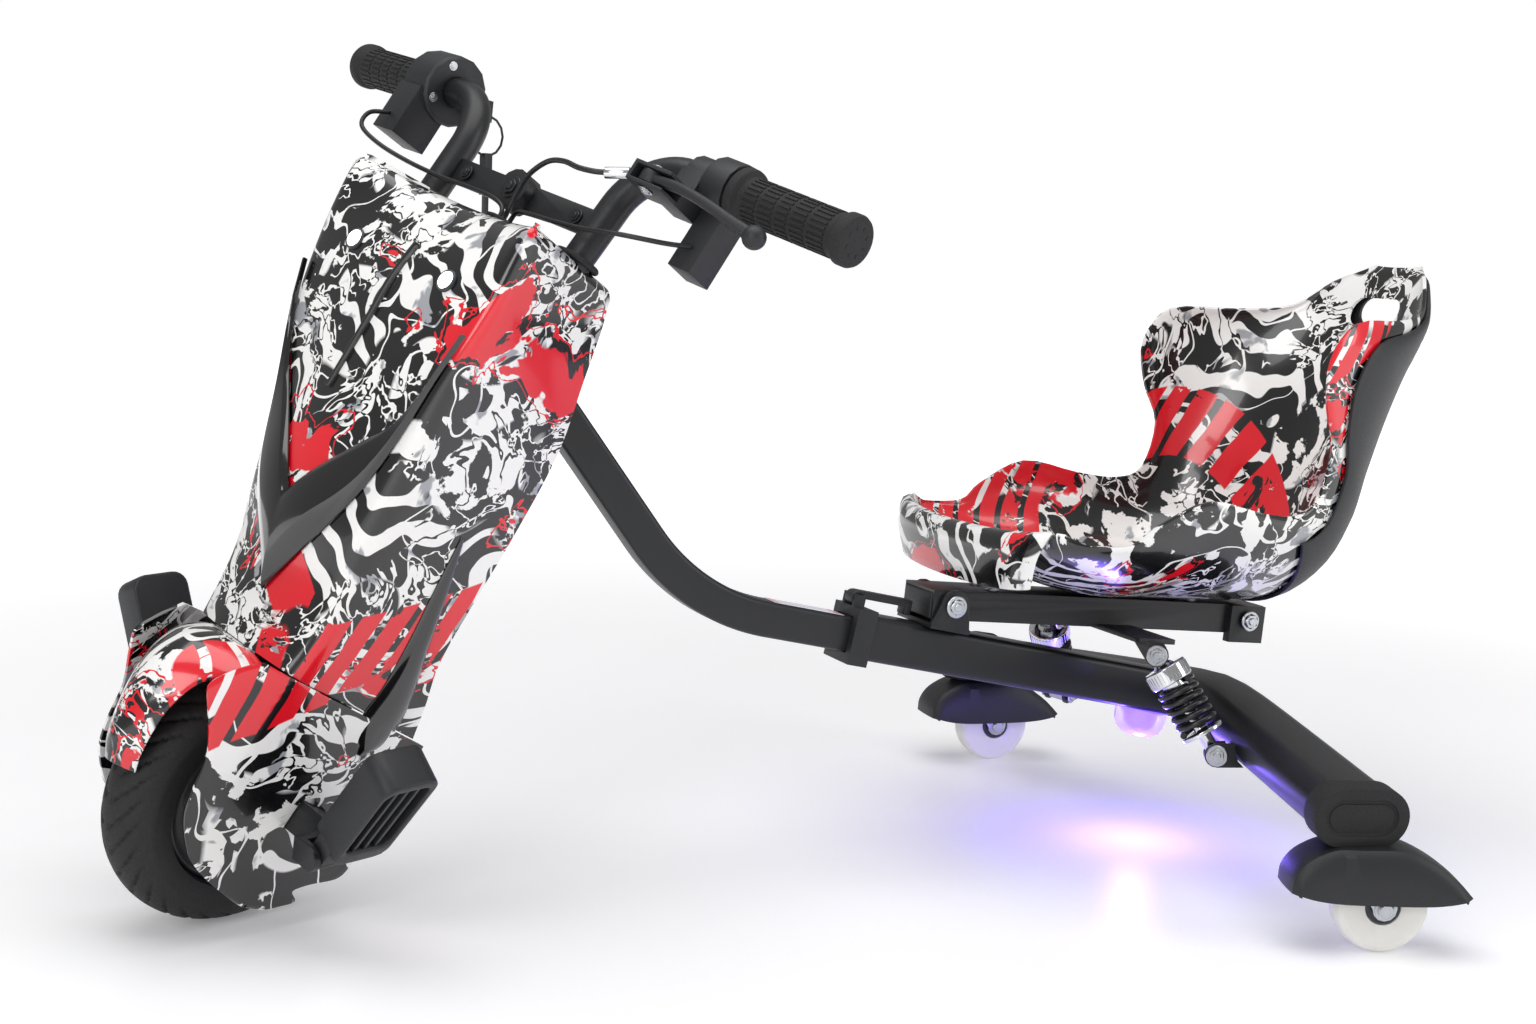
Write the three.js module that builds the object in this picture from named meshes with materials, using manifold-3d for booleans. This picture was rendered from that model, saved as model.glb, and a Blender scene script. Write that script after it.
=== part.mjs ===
// Electric drift trike: one steered, powered front wheel under a bodywork shield, a telescopic
// frame, a bucket seat on two spring legs and two swivelling rear wheels.
// Millimetres, x forward, y to the rider's left, z up. The trike stands as it was photographed,
// with the handlebar turned to the left and the rear wheels swivelled.
import * as THREE from 'three';
import { mergeVertices } from 'three/addons/utils/BufferGeometryUtils.js';
import Module from 'manifold-3d';

const wasm = await Module();
wasm.setup();

const DEGREE = Math.PI / 180;

// Clearances
const GAP = 0.3;
const RUN = 0.5;
const OVERRUN = 6;

// Front wheel and steering axis. The axis meets the axle, and s runs up along it.
const AXLE_X = 774;
const RAKE = 32 * DEGREE;
const TURN = 25 * DEGREE;
const TYRE_RADIUS = 96;
const TYRE_SECTION = 27.5;
const TYRE_WALL = 5;
const RIM_RADIUS = 60;
const RIM_HALF = 20;
const RIM_DISH = 4;
const HUB_RADIUS = 22;
const HUB_HALF = 26;
const AXLE_RADIUS = 6;
const AXLE_NUT_RADIUS = 10;
const AXLE_NUT_THICK = 8;
const BRAKE_PLATE_RADIUS = 44;
const BRAKE_PLATE_THICK = 3;
const BRAKE_ANCHOR_N = 32;
const BRAKE_ANCHOR_S = 36;

// Fork, column and head tube
const BLADE_GAP = 38;
const BLADE_THICK = 6;
const BLADE_HALF = 14;
const CROWN_BOTTOM = 108;
const CROWN_THICK = 14;
const CROWN_HALF = 22;
const COLUMN_RADIUS = 15;
const STEERER_RADIUS = 12.5;
const HEAD_BOTTOM = 333;
const HEAD_LENGTH = 80;
const HEAD_RADIUS = 20;
const HEAD_BORE = 13.4;
const COLLAR_THICK = 6;
const STEM_THICK = 13;
const STEM_HALF = 15;
const STEM_CLAMP_WALL = 7;
const TAB_HALF = 9;
const TAB_THICK = 5;

// Telescopic frame
const BEAM_SLOPE = 11.6 * DEGREE;
const BEAM_FRONT_X = 295;
const BEAM_FRONT_Z = 189;
const BEAM_LENGTH = 342;
const BEAM_SIDE = 36;
const BEAM_CORNER = 4;
const BEAM_WALL = 2.5;
const MAIN_SIDE = 28;
const MAIN_WALL = 2;
const MAIN_INSERT = 150;
const MAIN_RISE = 53.6 * DEGREE;
const MAIN_MEETS_AXIS = 373;
const MAIN_BEND = 165;
const COLLAR_BACK = 8;
const COLLAR_FRONT = 9;
const COLLAR_WALL = 4;
const LUG_HALF = 9;
const CLAMP_PIN_RADIUS = 3;
const LEVER_LENGTH = 44;
const LEVER_THICK = 6;
const LEVER_EYE_RADIUS = 6;

// Cross tube that carries the two rear wheels
const CROSS_X = -44;
const CROSS_Z = 121;
const CROSS_SWEEP = 71;
const CROSS_DROOP = 20;
const CROSS_HALF_SPAN = 297;
const CROSS_HALF_WIDTH = 33;
const CROSS_HALF_HEIGHT = 19;
const CROSS_WALL = 2.5;
const CAP_WALL = 3;
const CAP_SLEEVE = 17;
const CAP_RIM = 1.5;

// Rear wheels on their swivels
const SWIVEL_INSET = 10;
const SWIVEL_Y = CROSS_HALF_SPAN - SWIVEL_INSET;
const SWIVEL_TURN_LEFT = -21.7 * DEGREE;
const SWIVEL_TURN_RIGHT = -5.8 * DEGREE;
const CASTER_RADIUS = 35;
const CASTER_WIDTH = 25;
const CASTER_CROWN = 3;
const CASTER_TRAIL = 22;
const CASTER_AXLE_RADIUS = 4;
const STEM_RADIUS = 8;
const FORK_PLATE_Z = 75.2;
const FORK_PLATE_FRONT = 14;
const FORK_PLATE_BACK = 29;
const FORK_LEG_THICK = 2.5;
const FORK_LEG_HALF = 9;
const FENDER_TOP = 77.8;
const FENDER_LENGTH = 133;
const FENDER_HALF_WIDTH = 23;
const FENDER_WALL = 2.2;

// Seat pivot, seat frame and spring legs
const PIVOT_X = 219;
const PIVOT_Z = 213;
const PIVOT_EAR_THICK = 4;
const PIVOT_EAR_RADIUS = 13;
const PIVOT_PIN_RADIUS = 4;
const PIVOT_NUT_RADIUS = 6.5;
const PIVOT_NUT_THICK = 4;
const PIVOT_BASE_HALF = 18;
const SEAT_SLOPE = 4.3 * DEGREE;
const RAIL_HALF = 25;
const RAIL_HEIGHT = 24;
const RAIL_WALL = 2.5;
const RAIL_FRONT = 18;
const RAIL_BACK = 298;
const REAR_BOLT = 279;
const REAR_BRACKET_HALF = 17;
const REAR_BRACKET_DROP = 19;
const LEG_TOP_X = 66;
const LEG_TOP_Y = 85;
const LEG_TOP_Z = 179;
const LEG_FOOT_X = 28;
const LEG_FOOT_Y = 120;
const LEG_FOOT_Z = 104;
const LEG_EYE_RADIUS = 8;
const LEG_EYE_HALF = 7;
const LEG_PIN_RADIUS = 4;
const LEG_OPEN_PIVOT = 0.95;
const LEG_SIDE_PLAY = 0.5;
const LEG_EAR_THICK = 3;
const LEG_EAR_RADIUS = 9.5;
const BRIDGE_HALF = 17;
const BRIDGE_THICK = 4;
const ROD_RADIUS = 5.5;
const ROD_REACH = 62;
const BARREL_RADIUS = 10;
const BARREL_START = 46;
const SPRING_SEAT_RADIUS = 17.5;
const SPRING_SEAT_Z = 19;
const SPRING_SEAT_THICK = 3;
const KNURL_THICK = 14;
const KNURL_FROM_TOP = 11;
const SPRING_RADIUS = 14.6;
const SPRING_WIRE = 2.2;
const SPRING_TURNS = 5;
const SPRING_STEPS = 8;
const SPRING_SIDES = 5;

// Seat shell
const SEAT_LENGTH = 460;
const SEAT_HEIGHT = 280;
const SEAT_HALF_WIDTH = 145;
const SEAT_WALL = 3;
const BACK_WALL = 2.5;
const BACK_BULGE = 10;
const HANDLE_HALF = 32;
const HANDLE_HEIGHT = 24;

// Lamp under the beam
const LAMP_X = 16;
const LAMP_RADIUS = 22;
const LAMP_DEPTH = 24;

// Bodywork on the steering
const WALL = 2.5;
const SHIELD_BOTTOM = 97;
const SHIELD_TOP = 432;
const SHIELD_REACH = 127;
const SHIELD_HALF_WIDTH = 106;
const SHIELD_CORNER = 10;
const TRIM_RISE = 8;
const TRIM_TIP = 135;
const TRIM_THROAT = 200;
const TRIM_TOP = 345;
const TRIM_RUN = 88;
const HEADLIGHT_Y = 55;
const HEADLIGHT_S = 374;
const HEADLIGHT_RADIUS = 6.5;
const HEADLIGHT_LENGTH = 12;
const CORD_HOLE_RADIUS = 8;
const CORD_HOLE_N = 87;
const CORD_HOLE_Y = 20.5;
const FENDER_REACH = 133;
const COVER_Y = 57.5;
const FRONT_FENDER_DROP = 14;

// Battery pack and motor controller inside the shield
const PACK_DEPTH = 40;
const PACK_HALF_WIDTH = 52;
const PACK_BOTTOM = 162;
const PACK_TOP = 300;
const CONTROLLER_DEPTH = 22;
const CONTROLLER_HALF_WIDTH = 30;
const CONTROLLER_HEIGHT = 62;

// Handlebar and what it carries
const BAR_RADIUS = 11.1;
const BAR_FOOT_N = 70;
const BAR_FOOT_S = 408;
const BAR_FOOT_Y = 87;
const BAR_TOP_N = 64;
const BAR_TOP_Y = 90;
const BAR_END_N = 47;
const BAR_END_Y = 275;
const BAR_TOP_S = 520;
const BAR_FOOT_BEND = 24;
const BAR_TOP_BEND = 42;
const GRIP_RADIUS = 15.5;
const GRIP_FLANGE = 20;
const GRIP_CAP = 17.5;
const GRIP_LENGTH = 98;
const FLANGE_THICK = 6;
const CAP_THICK = 7;
const BRACE_S = 462;
const BRACE_HEIGHT = 19;
const BRACE_THICK = 5;
const BRACE_KNOB = 15;
const THROTTLE_RADIUS = 27;
const THROTTLE_LENGTH = 34;
const SWITCH_RING = 21;
const SWITCH_WIDTH = 20;
const SWITCH_DEPTH = 25;
const SWITCH_DROP = 62;
const SWITCH_BACK = 9;
const PERCH_WIDTH = 20;
const PERCH_RING = 16;
const PERCH_FERRULE = 16;
const LEVER_PIVOT_AHEAD = 37;
const LEVER_PIVOT_IN = 139;
const LEVER_PIVOT_BELOW = 23;
const LEVER_REACH = 98;
const LEVER_SWEEP = 16;
const LEVER_DROP = 9;
const LEVER_HEIGHT = 9;
const LEVER_BALL = 8;
const KEY_SHAFT = 3;
const KEY_RING = 15;
const KEY_WIRE = 1;

// Foot pegs, hinged on brackets that pass through the wheel covers
const PEG_ARM_HALF = 11;
const PEG_ARM_N = -14;
const PEG_ARM_S = 14;
const PEG_HINGE_Y = 112;
const PEG_HINGE_RADIUS = 4;
const PEG_EAR_RADIUS = 9;
const PEG_EAR_THICK = 5;
const PEG_LENGTH = 100;
const PEG_WIDTH = 44;
const PEG_THICK = 30;
const PEG_WALL = 4;
const PEG_LEAN = 33 * DEGREE;
const SIDE_LAMP_RADIUS = 7;

// Counts of facets
const ROUND = 14;
const FINE = 24;
const COARSE = 8;

function material(name, color, roughness, metalness) {
  const made = new THREE.MeshStandardMaterial({ color, roughness, metalness });
  made.name = name;
  return made;
}

const FRAME_BLACK = material('frame_black', '#17181a', 0.42, 0.35);
const PRINT = material('print', '#8a8a8c', 0.25, 0);
const PLASTIC = material('black_plastic', '#1b1c1e', 0.55, 0);
const GLOSS = material('gloss_black', '#0d0e10', 0.18, 0);
const RUBBER = material('rubber', '#1d1d1f', 0.85, 0);
const ZINC = material('zinc', '#c3c6c9', 0.32, 0.9);
const WHITE = material('white_wheel', '#eceae4', 0.4, 0);
const LAMP = material('lamp', '#ffffff', 0.1, 0);
const CASE = material('battery_blue', '#23406b', 0.5, 0);

function solidOf(geometry) {
  const plain = geometry.clone();
  for (const name of Object.keys(plain.attributes)) {
    if (name !== 'position') plain.deleteAttribute(name);
  }
  const merged = mergeVertices(plain);
  const index = Array.from(merged.index.array);
  const triangles = [];
  for (let i = 0; i < index.length; i += 3) {
    const [a, b, c] = index.slice(i, i + 3);
    if (a !== b && b !== c && c !== a) triangles.push(a, b, c);
  }
  const vertProperties = Float32Array.from(merged.attributes.position.array);
  return new wasm.Manifold(new wasm.Mesh({ numProp: 3, vertProperties, triVerts: Uint32Array.from(triangles) }));
}

function geometryOf(solid) {
  const mesh = solid.getMesh();
  const geometry = new THREE.BufferGeometry();
  geometry.setAttribute('position', new THREE.BufferAttribute(mesh.vertProperties, 3));
  geometry.setIndex(new THREE.BufferAttribute(mesh.triVerts, 1));
  return geometry.toNonIndexed();
}

const join = (first, ...others) =>
  geometryOf(others.reduce((whole, other) => whole.add(solidOf(other)), solidOf(first)));

const cut = (first, ...others) =>
  geometryOf(others.reduce((whole, other) => whole.subtract(solidOf(other)), solidOf(first)));

function placed(geometry, place = [0, 0, 0], turn = [0, 0, 0]) {
  const pose = new THREE.Object3D();
  pose.position.set(...place);
  pose.rotation.set(...turn);
  pose.updateMatrix();
  return geometry.clone().applyMatrix4(pose.matrix);
}

function span([x0, x1], [y0, y1], [z0, z1]) {
  const box = new THREE.BoxGeometry(x1 - x0, y1 - y0, z1 - z0);
  return placed(box, [(x0 + x1) / 2, (y0 + y1) / 2, (z0 + z1) / 2]);
}

const alongX = (geometry) => placed(geometry, [0, 0, 0], [0, 0, -Math.PI / 2]);
const alongZ = (geometry) => placed(geometry, [0, 0, 0], [Math.PI / 2, 0, 0]);
const rod = (radius, length, sides = ROUND) => new THREE.CylinderGeometry(radius, radius, length, sides);
const rodX = (radius, length, place, sides) => placed(alongX(rod(radius, length, sides)), place);
const rodY = (radius, length, place, sides) => placed(rod(radius, length, sides), place);
const rodZ = (radius, length, place, sides) => placed(alongZ(rod(radius, length, sides)), place);

function rodBetween(start, end, radius, sides = COARSE) {
  const from = new THREE.Vector3(...start);
  const to = new THREE.Vector3(...end);
  const turn = new THREE.Quaternion().setFromUnitVectors(
    new THREE.Vector3(0, 1, 0), to.clone().sub(from).normalize());
  const geometry = rod(radius, from.distanceTo(to), sides);
  const pose = new THREE.Matrix4().makeRotationFromQuaternion(turn);
  pose.setPosition(from.add(to).multiplyScalar(0.5));
  return geometry.applyMatrix4(pose);
}

// An outline in the first two axes, extruded along the third and centred on it.
function slab(outline, thickness, holes = []) {
  const shape = new THREE.Shape(outline.map(([x, y]) => new THREE.Vector2(x, y)));
  for (const hole of holes) {
    shape.holes.push(new THREE.Path(hole.map(([x, y]) => new THREE.Vector2(x, y))));
  }
  const solid = new THREE.ExtrudeGeometry(shape, { depth: thickness, bevelEnabled: false });
  return placed(solid, [0, 0, -thickness / 2]);
}

// The same slab standing in the xz plane, with its thickness along y.
const wallXZ = (outline, thickness, y) => placed(slab(outline, thickness), [0, y, 0], [Math.PI / 2, 0, 0]);

function arc(x, y, radius, from, to, steps) {
  return Array.from({ length: steps + 1 }, (_, i) => {
    const angle = from + (to - from) * i / steps;
    return [x + radius * Math.cos(angle), y + radius * Math.sin(angle)];
  });
}

const circle = (radius, sides) => arc(0, 0, radius, 0, 2 * Math.PI * (1 - 1 / sides), sides - 1);

function roundedSquare(half, corner, steps = 2) {
  const inner = half - corner;
  const quarters = [[inner, inner], [-inner, inner], [-inner, -inner], [inner, -inner]];
  return quarters.flatMap(([x, y], i) =>
    arc(x, y, corner, i * Math.PI / 2, (i + 1) * Math.PI / 2, steps));
}

// A path of straight stretches joined by arcs of the given radii.
function bentPath(points, radii) {
  const corners = points.map((point) => new THREE.Vector3(...point));
  const path = new THREE.CurvePath();
  let from = corners[0];
  for (let i = 1; i < corners.length - 1; i += 1) {
    const back = corners[i - 1].clone().sub(corners[i]).normalize();
    const on = corners[i + 1].clone().sub(corners[i]).normalize();
    const bend = Math.PI - back.angleTo(on);
    const reach = radii[i - 1] * Math.tan(bend / 2);
    const handle = reach - radii[i - 1] * Math.tan(bend / 4) * 4 / 3;
    const enter = corners[i].clone().addScaledVector(back, reach);
    const leave = corners[i].clone().addScaledVector(on, reach);
    path.add(new THREE.LineCurve3(from, enter));
    path.add(new THREE.CubicBezierCurve3(
      enter, corners[i].clone().addScaledVector(back, handle),
      corners[i].clone().addScaledVector(on, handle), leave));
    from = leave;
  }
  path.add(new THREE.LineCurve3(from, corners[corners.length - 1]));
  return path;
}

function swept(path, outline, steps, hole) {
  const shape = new THREE.Shape(outline.map(([x, y]) => new THREE.Vector2(x, y)));
  if (hole) shape.holes.push(new THREE.Path(hole.map(([x, y]) => new THREE.Vector2(x, y))));
  return new THREE.ExtrudeGeometry(shape, { steps, extrudePath: path, bevelEnabled: false });
}

function closedBody(vertices, triangles) {
  const at = (i) => new THREE.Vector3(...vertices[i]);
  const volume = triangles.reduce((sum, [a, b, c]) => sum + at(a).dot(at(b).cross(at(c))), 0);
  const faces = volume < 0 ? triangles.map(([a, b, c]) => [a, c, b]) : triangles;
  const geometry = new THREE.BufferGeometry();
  geometry.setAttribute('position', new THREE.Float32BufferAttribute(vertices.flat(), 3));
  geometry.setIndex(faces.flat());
  return geometry.toNonIndexed();
}

// Rings of points joined in order. A loop of rings closes on itself, others get flat ends.
function loft(rings, loop = false) {
  const count = rings[0].length;
  const vertices = rings.flat();
  const triangles = [];
  const last = loop ? rings.length : rings.length - 1;
  for (let i = 0; i < last; i += 1) {
    for (let j = 0; j < count; j += 1) {
      const next = (j + 1) % count;
      const a = i * count;
      const b = ((i + 1) % rings.length) * count;
      triangles.push([a + j, a + next, b + next], [a + j, b + next, b + j]);
    }
  }
  if (!loop) {
    const end = (rings.length - 1) * count;
    for (let j = 1; j < count - 1; j += 1) {
      triangles.push([0, j + 1, j], [end, end + j, end + j + 1]);
    }
  }
  return closedBody(vertices, triangles);
}

// A sheet between two grids of points that have the same rows and columns.
function shell(outer, inner) {
  const rings = outer.map((row, i) => [...row, ...inner[i].slice().reverse()]);
  const count = rings[0].length;
  const columns = outer[0].length;
  const triangles = [];
  for (let i = 0; i < rings.length - 1; i += 1) {
    for (let j = 0; j < count; j += 1) {
      const next = (j + 1) % count;
      const a = i * count;
      const b = (i + 1) * count;
      triangles.push([a + j, a + next, b + next], [a + j, b + next, b + j]);
    }
  }
  for (const [ring, flip] of [[0, false], [rings.length - 1, true]]) {
    const base = ring * count;
    for (let j = 0; j < columns - 1; j += 1) {
      const a = base + j;
      const b = base + j + 1;
      const c = base + count - 2 - j;
      const d = base + count - 1 - j;
      const pair = [[a, c, b], [a, d, c]];
      triangles.push(...(flip ? pair.map(([p, q, r]) => [p, r, q]) : pair));
    }
  }
  return closedBody(rings.flat(), triangles);
}

// Each point of a grid moved along the grid's own normal.
function offsetGrid(grid, distance) {
  const at = (i, j) => {
    const row = grid[Math.min(Math.max(i, 0), grid.length - 1)];
    return new THREE.Vector3(...row[Math.min(Math.max(j, 0), row.length - 1)]);
  };
  return grid.map((row, i) => row.map((point, j) => {
    const along = at(i + 1, j).sub(at(i - 1, j));
    const across = at(i, j + 1).sub(at(i, j - 1));
    const normal = across.cross(along).normalize();
    const size = typeof distance === 'function' ? distance(i, j) : distance;
    return new THREE.Vector3(...point).addScaledVector(normal, size).toArray();
  }));
}

// A closed outline of radius against height, turned about the y axis.
function turned(outline, sides = ROUND) {
  const area = outline.reduce((sum, [r, y], i) => {
    const [nextR, nextY] = outline[(i + 1) % outline.length];
    return sum + r * nextY - nextR * y;
  }, 0);
  const ordered = area < 0 ? outline.slice().reverse() : outline;
  return new THREE.LatheGeometry([...ordered, ordered[0]].map(([r, y]) => new THREE.Vector2(r, y)), sides);
}

function piece(name, geometry, paint, parent) {
  const made = geometry.clone();
  made.computeVertexNormals();
  const mesh = new THREE.Mesh(made, paint);
  mesh.name = name;
  parent.add(mesh);
  return mesh;
}

const SIDES = [['left', 1], ['right', -1]];

// Places that several pieces share
const LEAN = Math.asin(Math.sin(TURN) * Math.sin(RAKE));
const AXLE_Z = (TYRE_RADIUS - TYRE_SECTION) * Math.cos(LEAN) + TYRE_SECTION;
const BLADE_OUT = BLADE_GAP + BLADE_THICK;
const HEAD_TOP = HEAD_BOTTOM + HEAD_LENGTH;

const trike = new THREE.Group();
const steering = new THREE.Group();
steering.position.set(AXLE_X, 0, AXLE_Z);
steering.rotation.set(0, -RAKE, TURN);
const head = new THREE.Group();
head.position.copy(steering.position);
head.rotation.set(0, -RAKE, 0);
const beam = new THREE.Group();
beam.position.set(BEAM_FRONT_X, 0, BEAM_FRONT_Z);
beam.rotation.set(0, -BEAM_SLOPE, 0);
const rail = new THREE.Group();
rail.position.set(PIVOT_X, 0, PIVOT_Z);
rail.rotation.set(0, -SEAT_SLOPE, 0);
const seat = new THREE.Group();
seat.position.set(PIVOT_X, 0, PIVOT_Z);
trike.add(steering, head, beam, rail, seat);
trike.updateMatrixWorld(true);

const into = (group, geometry, from = trike) => geometry.clone()
  .applyMatrix4(from.matrixWorld).applyMatrix4(group.matrixWorld.clone().invert());

// Cross tube: a flat oval that sweeps forward and droops towards both ends.
const crossCentre = (y) => [
  CROSS_X + CROSS_SWEEP * Math.abs(y) / CROSS_HALF_SPAN,
  CROSS_Z - CROSS_DROOP * Math.abs(y) / CROSS_HALF_SPAN];

function crossRing(y, grow) {
  const [x, z] = crossCentre(y);
  const radius = CROSS_HALF_HEIGHT + grow;
  const flat = CROSS_HALF_WIDTH - CROSS_HALF_HEIGHT;
  const front = arc(x + flat, z, radius, -Math.PI / 2, Math.PI / 2, 6);
  const back = arc(x - flat, z, radius, Math.PI / 2, Math.PI * 3 / 2, 6);
  return [...front, ...back].map(([px, pz]) => [px, y, pz]);
}

const crossSolid = (from, to, grow) => loft(
  (from < 0 && to > 0 ? [from, 0, to] : [from, to]).map((y) => crossRing(y, grow)));

function crossTube() {
  const tube = cut(
    crossSolid(-CROSS_HALF_SPAN, CROSS_HALF_SPAN, 0),
    crossSolid(-CROSS_HALF_SPAN - OVERRUN, CROSS_HALF_SPAN + OVERRUN, -CROSS_WALL));
  const stems = SIDES.map(([, side]) => {
    const [x, z] = crossCentre(SWIVEL_Y);
    return rodZ(STEM_RADIUS + RUN, CROSS_HALF_HEIGHT, [x, side * SWIVEL_Y, z - CROSS_HALF_HEIGHT]);
  });
  piece('rear_cross_tube', cut(tube, ...stems), FRAME_BLACK, trike);
}

function armEndCaps() {
  const end = CROSS_HALF_SPAN + GAP;
  for (const [name, side] of SIDES) {
    const [x, z] = crossCentre(SWIVEL_Y);
    const outer = crossSolid(side * (end - CAP_SLEEVE), side * (end + CAP_WALL), CAP_WALL + GAP);
    const inner = crossSolid(side * (end - CAP_SLEEVE - OVERRUN), side * end, GAP);
    const recess = crossSolid(side * (end + CAP_RIM), side * (end + CAP_WALL + OVERRUN), -CAP_WALL);
    const stem = rodZ(STEM_RADIUS + CAP_WALL, CROSS_HALF_HEIGHT, [x, side * SWIVEL_Y, z - CROSS_HALF_HEIGHT]);
    piece(`arm_end_cap_${name}`, cut(outer, inner, recess, stem), RUBBER, trike);
  }
}

// Beam: a square tube whose back end is coped onto the cross tube.
function rearBeam() {
  const tube = slab(roundedSquare(BEAM_SIDE / 2, BEAM_CORNER), BEAM_LENGTH,
    [roundedSquare(BEAM_SIDE / 2 - BEAM_WALL, BEAM_CORNER - BEAM_WALL)]);
  const laid = placed(tube, [-BEAM_LENGTH / 2, 0, 0], [0, Math.PI / 2, 0]);
  const cope = into(beam, crossSolid(-BEAM_SIDE, BEAM_SIDE, GAP));
  piece('rear_beam', cut(laid, cope), FRAME_BLACK, beam);
}

function mainTube() {
  const along = [Math.cos(BEAM_SLOPE), Math.sin(BEAM_SLOPE)];
  const up = [Math.cos(MAIN_RISE), Math.sin(MAIN_RISE)];
  const endX = AXLE_X - MAIN_MEETS_AXIS * Math.sin(RAKE);
  const endZ = AXLE_Z + MAIN_MEETS_AXIS * Math.cos(RAKE);
  const reach = ((endX - BEAM_FRONT_X) * up[1] - (endZ - BEAM_FRONT_Z) * up[0])
    / (along[0] * up[1] - along[1] * up[0]);
  const corner = [BEAM_FRONT_X + along[0] * reach, 0, BEAM_FRONT_Z + along[1] * reach];
  const start = [BEAM_FRONT_X - along[0] * MAIN_INSERT, 0, BEAM_FRONT_Z - along[1] * MAIN_INSERT];
  const path = bentPath([start, corner, [endX, 0, endZ]], [MAIN_BEND]);
  const tube = swept(path, roundedSquare(MAIN_SIDE / 2, BEAM_CORNER, 1), 20,
    roundedSquare(MAIN_SIDE / 2 - MAIN_WALL, BEAM_CORNER - MAIN_WALL, 1));
  const cope = into(trike, rodZ(HEAD_RADIUS + GAP, HEAD_LENGTH * 2, [0, 0, MAIN_MEETS_AXIS], FINE), head);
  piece('main_tube', cut(tube, cope), FRAME_BLACK, trike);
}

function headTube() {
  const outer = rodZ(HEAD_RADIUS, HEAD_LENGTH, [0, 0, HEAD_BOTTOM + HEAD_LENGTH / 2], FINE);
  const bore = rodZ(HEAD_BORE, HEAD_LENGTH + OVERRUN, [0, 0, HEAD_BOTTOM + HEAD_LENGTH / 2]);
  piece('head_tube', cut(outer, bore), FRAME_BLACK, head);
}

// Clamp: a collar on the beam's mouth that closes on the sliding tube, with a lever on top.
const LUG_PIN_X = COLLAR_FRONT / 2;
const LUG_PIN_Z = BEAM_SIDE / 2 + COLLAR_WALL + LEVER_EYE_RADIUS + RUN * 2;

function clampCollar() {
  const half = BEAM_SIDE / 2 + GAP + COLLAR_WALL;
  const body = span([-COLLAR_BACK, COLLAR_FRONT], [-half, half], [-half, half]);
  const seatHalf = BEAM_SIDE / 2 + GAP;
  const mouthHalf = MAIN_SIDE / 2 + RUN;
  const seatCut = span([-COLLAR_BACK - OVERRUN, GAP], [-seatHalf, seatHalf], [-seatHalf, seatHalf]);
  const mouth = span([0, COLLAR_FRONT + OVERRUN], [-mouthHalf, mouthHalf], [-mouthHalf, mouthHalf]);
  const lugs = SIDES.map(([, side]) => span([0, COLLAR_FRONT],
    [side * LUG_HALF - COLLAR_WALL / 2, side * LUG_HALF + COLLAR_WALL / 2],
    [half - GAP, LUG_PIN_Z + CLAMP_PIN_RADIUS]));
  const pin = rodY(CLAMP_PIN_RADIUS - RUN, LUG_HALF * 2, [LUG_PIN_X, 0, LUG_PIN_Z]);
  piece('clamp_collar', join(cut(body, seatCut, mouth), ...lugs, pin), PLASTIC, beam);
}

function clampLever() {
  const half = LUG_HALF - COLLAR_WALL / 2 - RUN;
  const eye = rodY(LEVER_EYE_RADIUS, half * 2, [LUG_PIN_X, 0, LUG_PIN_Z]);
  const low = BEAM_SIDE / 2 + COLLAR_WALL + RUN * 2;
  const arm = span([-LEVER_LENGTH, LUG_PIN_X], [-half, half],
    [LUG_PIN_Z + LEVER_EYE_RADIUS - LEVER_THICK, LUG_PIN_Z + LEVER_EYE_RADIUS]);
  const tip = span([-LEVER_LENGTH, -LEVER_LENGTH + LEVER_THICK], [-half, half],
    [low, LUG_PIN_Z + LEVER_EYE_RADIUS]);
  const bore = rodY(CLAMP_PIN_RADIUS, LUG_HALF * 4, [LUG_PIN_X, 0, LUG_PIN_Z]);
  piece('clamp_lever', cut(join(eye, arm, tip), bore), PLASTIC, beam);
}

// Rear wheels: a fork with its stem and axle, a fender over it and a wheel, in that order.
function caster(name, side, turn) {
  const [swivelX, swivelZ] = crossCentre(SWIVEL_Y);
  const group = new THREE.Group();
  group.position.set(swivelX, side * SWIVEL_Y, 0);
  group.rotation.set(0, 0, turn);
  trike.add(group);
  const legY = CASTER_WIDTH / 2 + RUN * 2 + FORK_LEG_THICK / 2;
  const outline = [
    [-FORK_PLATE_BACK, FORK_PLATE_Z], [FORK_PLATE_FRONT, FORK_PLATE_Z],
    ...arc(-CASTER_TRAIL, CASTER_RADIUS, FORK_LEG_HALF, 0, -Math.PI, 6)];
  const legs = SIDES.map(([, way]) => wallXZ(outline, FORK_LEG_THICK, way * legY));
  const plate = span([-FORK_PLATE_BACK, FORK_PLATE_FRONT],
    [-legY - FORK_LEG_THICK / 2, legY + FORK_LEG_THICK / 2],
    [FORK_PLATE_Z - FORK_LEG_THICK, FORK_PLATE_Z]);
  const stemTop = swivelZ + CROSS_HALF_HEIGHT / 2;
  const stem = rodZ(STEM_RADIUS, stemTop - FORK_PLATE_Z + FORK_LEG_THICK / 2,
    [0, 0, (stemTop + FORK_PLATE_Z - FORK_LEG_THICK / 2) / 2]);
  const axle = rodY(CASTER_AXLE_RADIUS, legY * 2 + FORK_LEG_THICK * 3, [-CASTER_TRAIL, 0, CASTER_RADIUS]);
  piece(`caster_fork_${name}`, join(plate, ...legs, stem, axle), ZINC, group);
  casterFender(name, group);
  const wheel = casterWheel();
  piece(`caster_wheel_${name}`, placed(wheel, [-CASTER_TRAIL, 0, CASTER_RADIUS]), WHITE, group);
}

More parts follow.
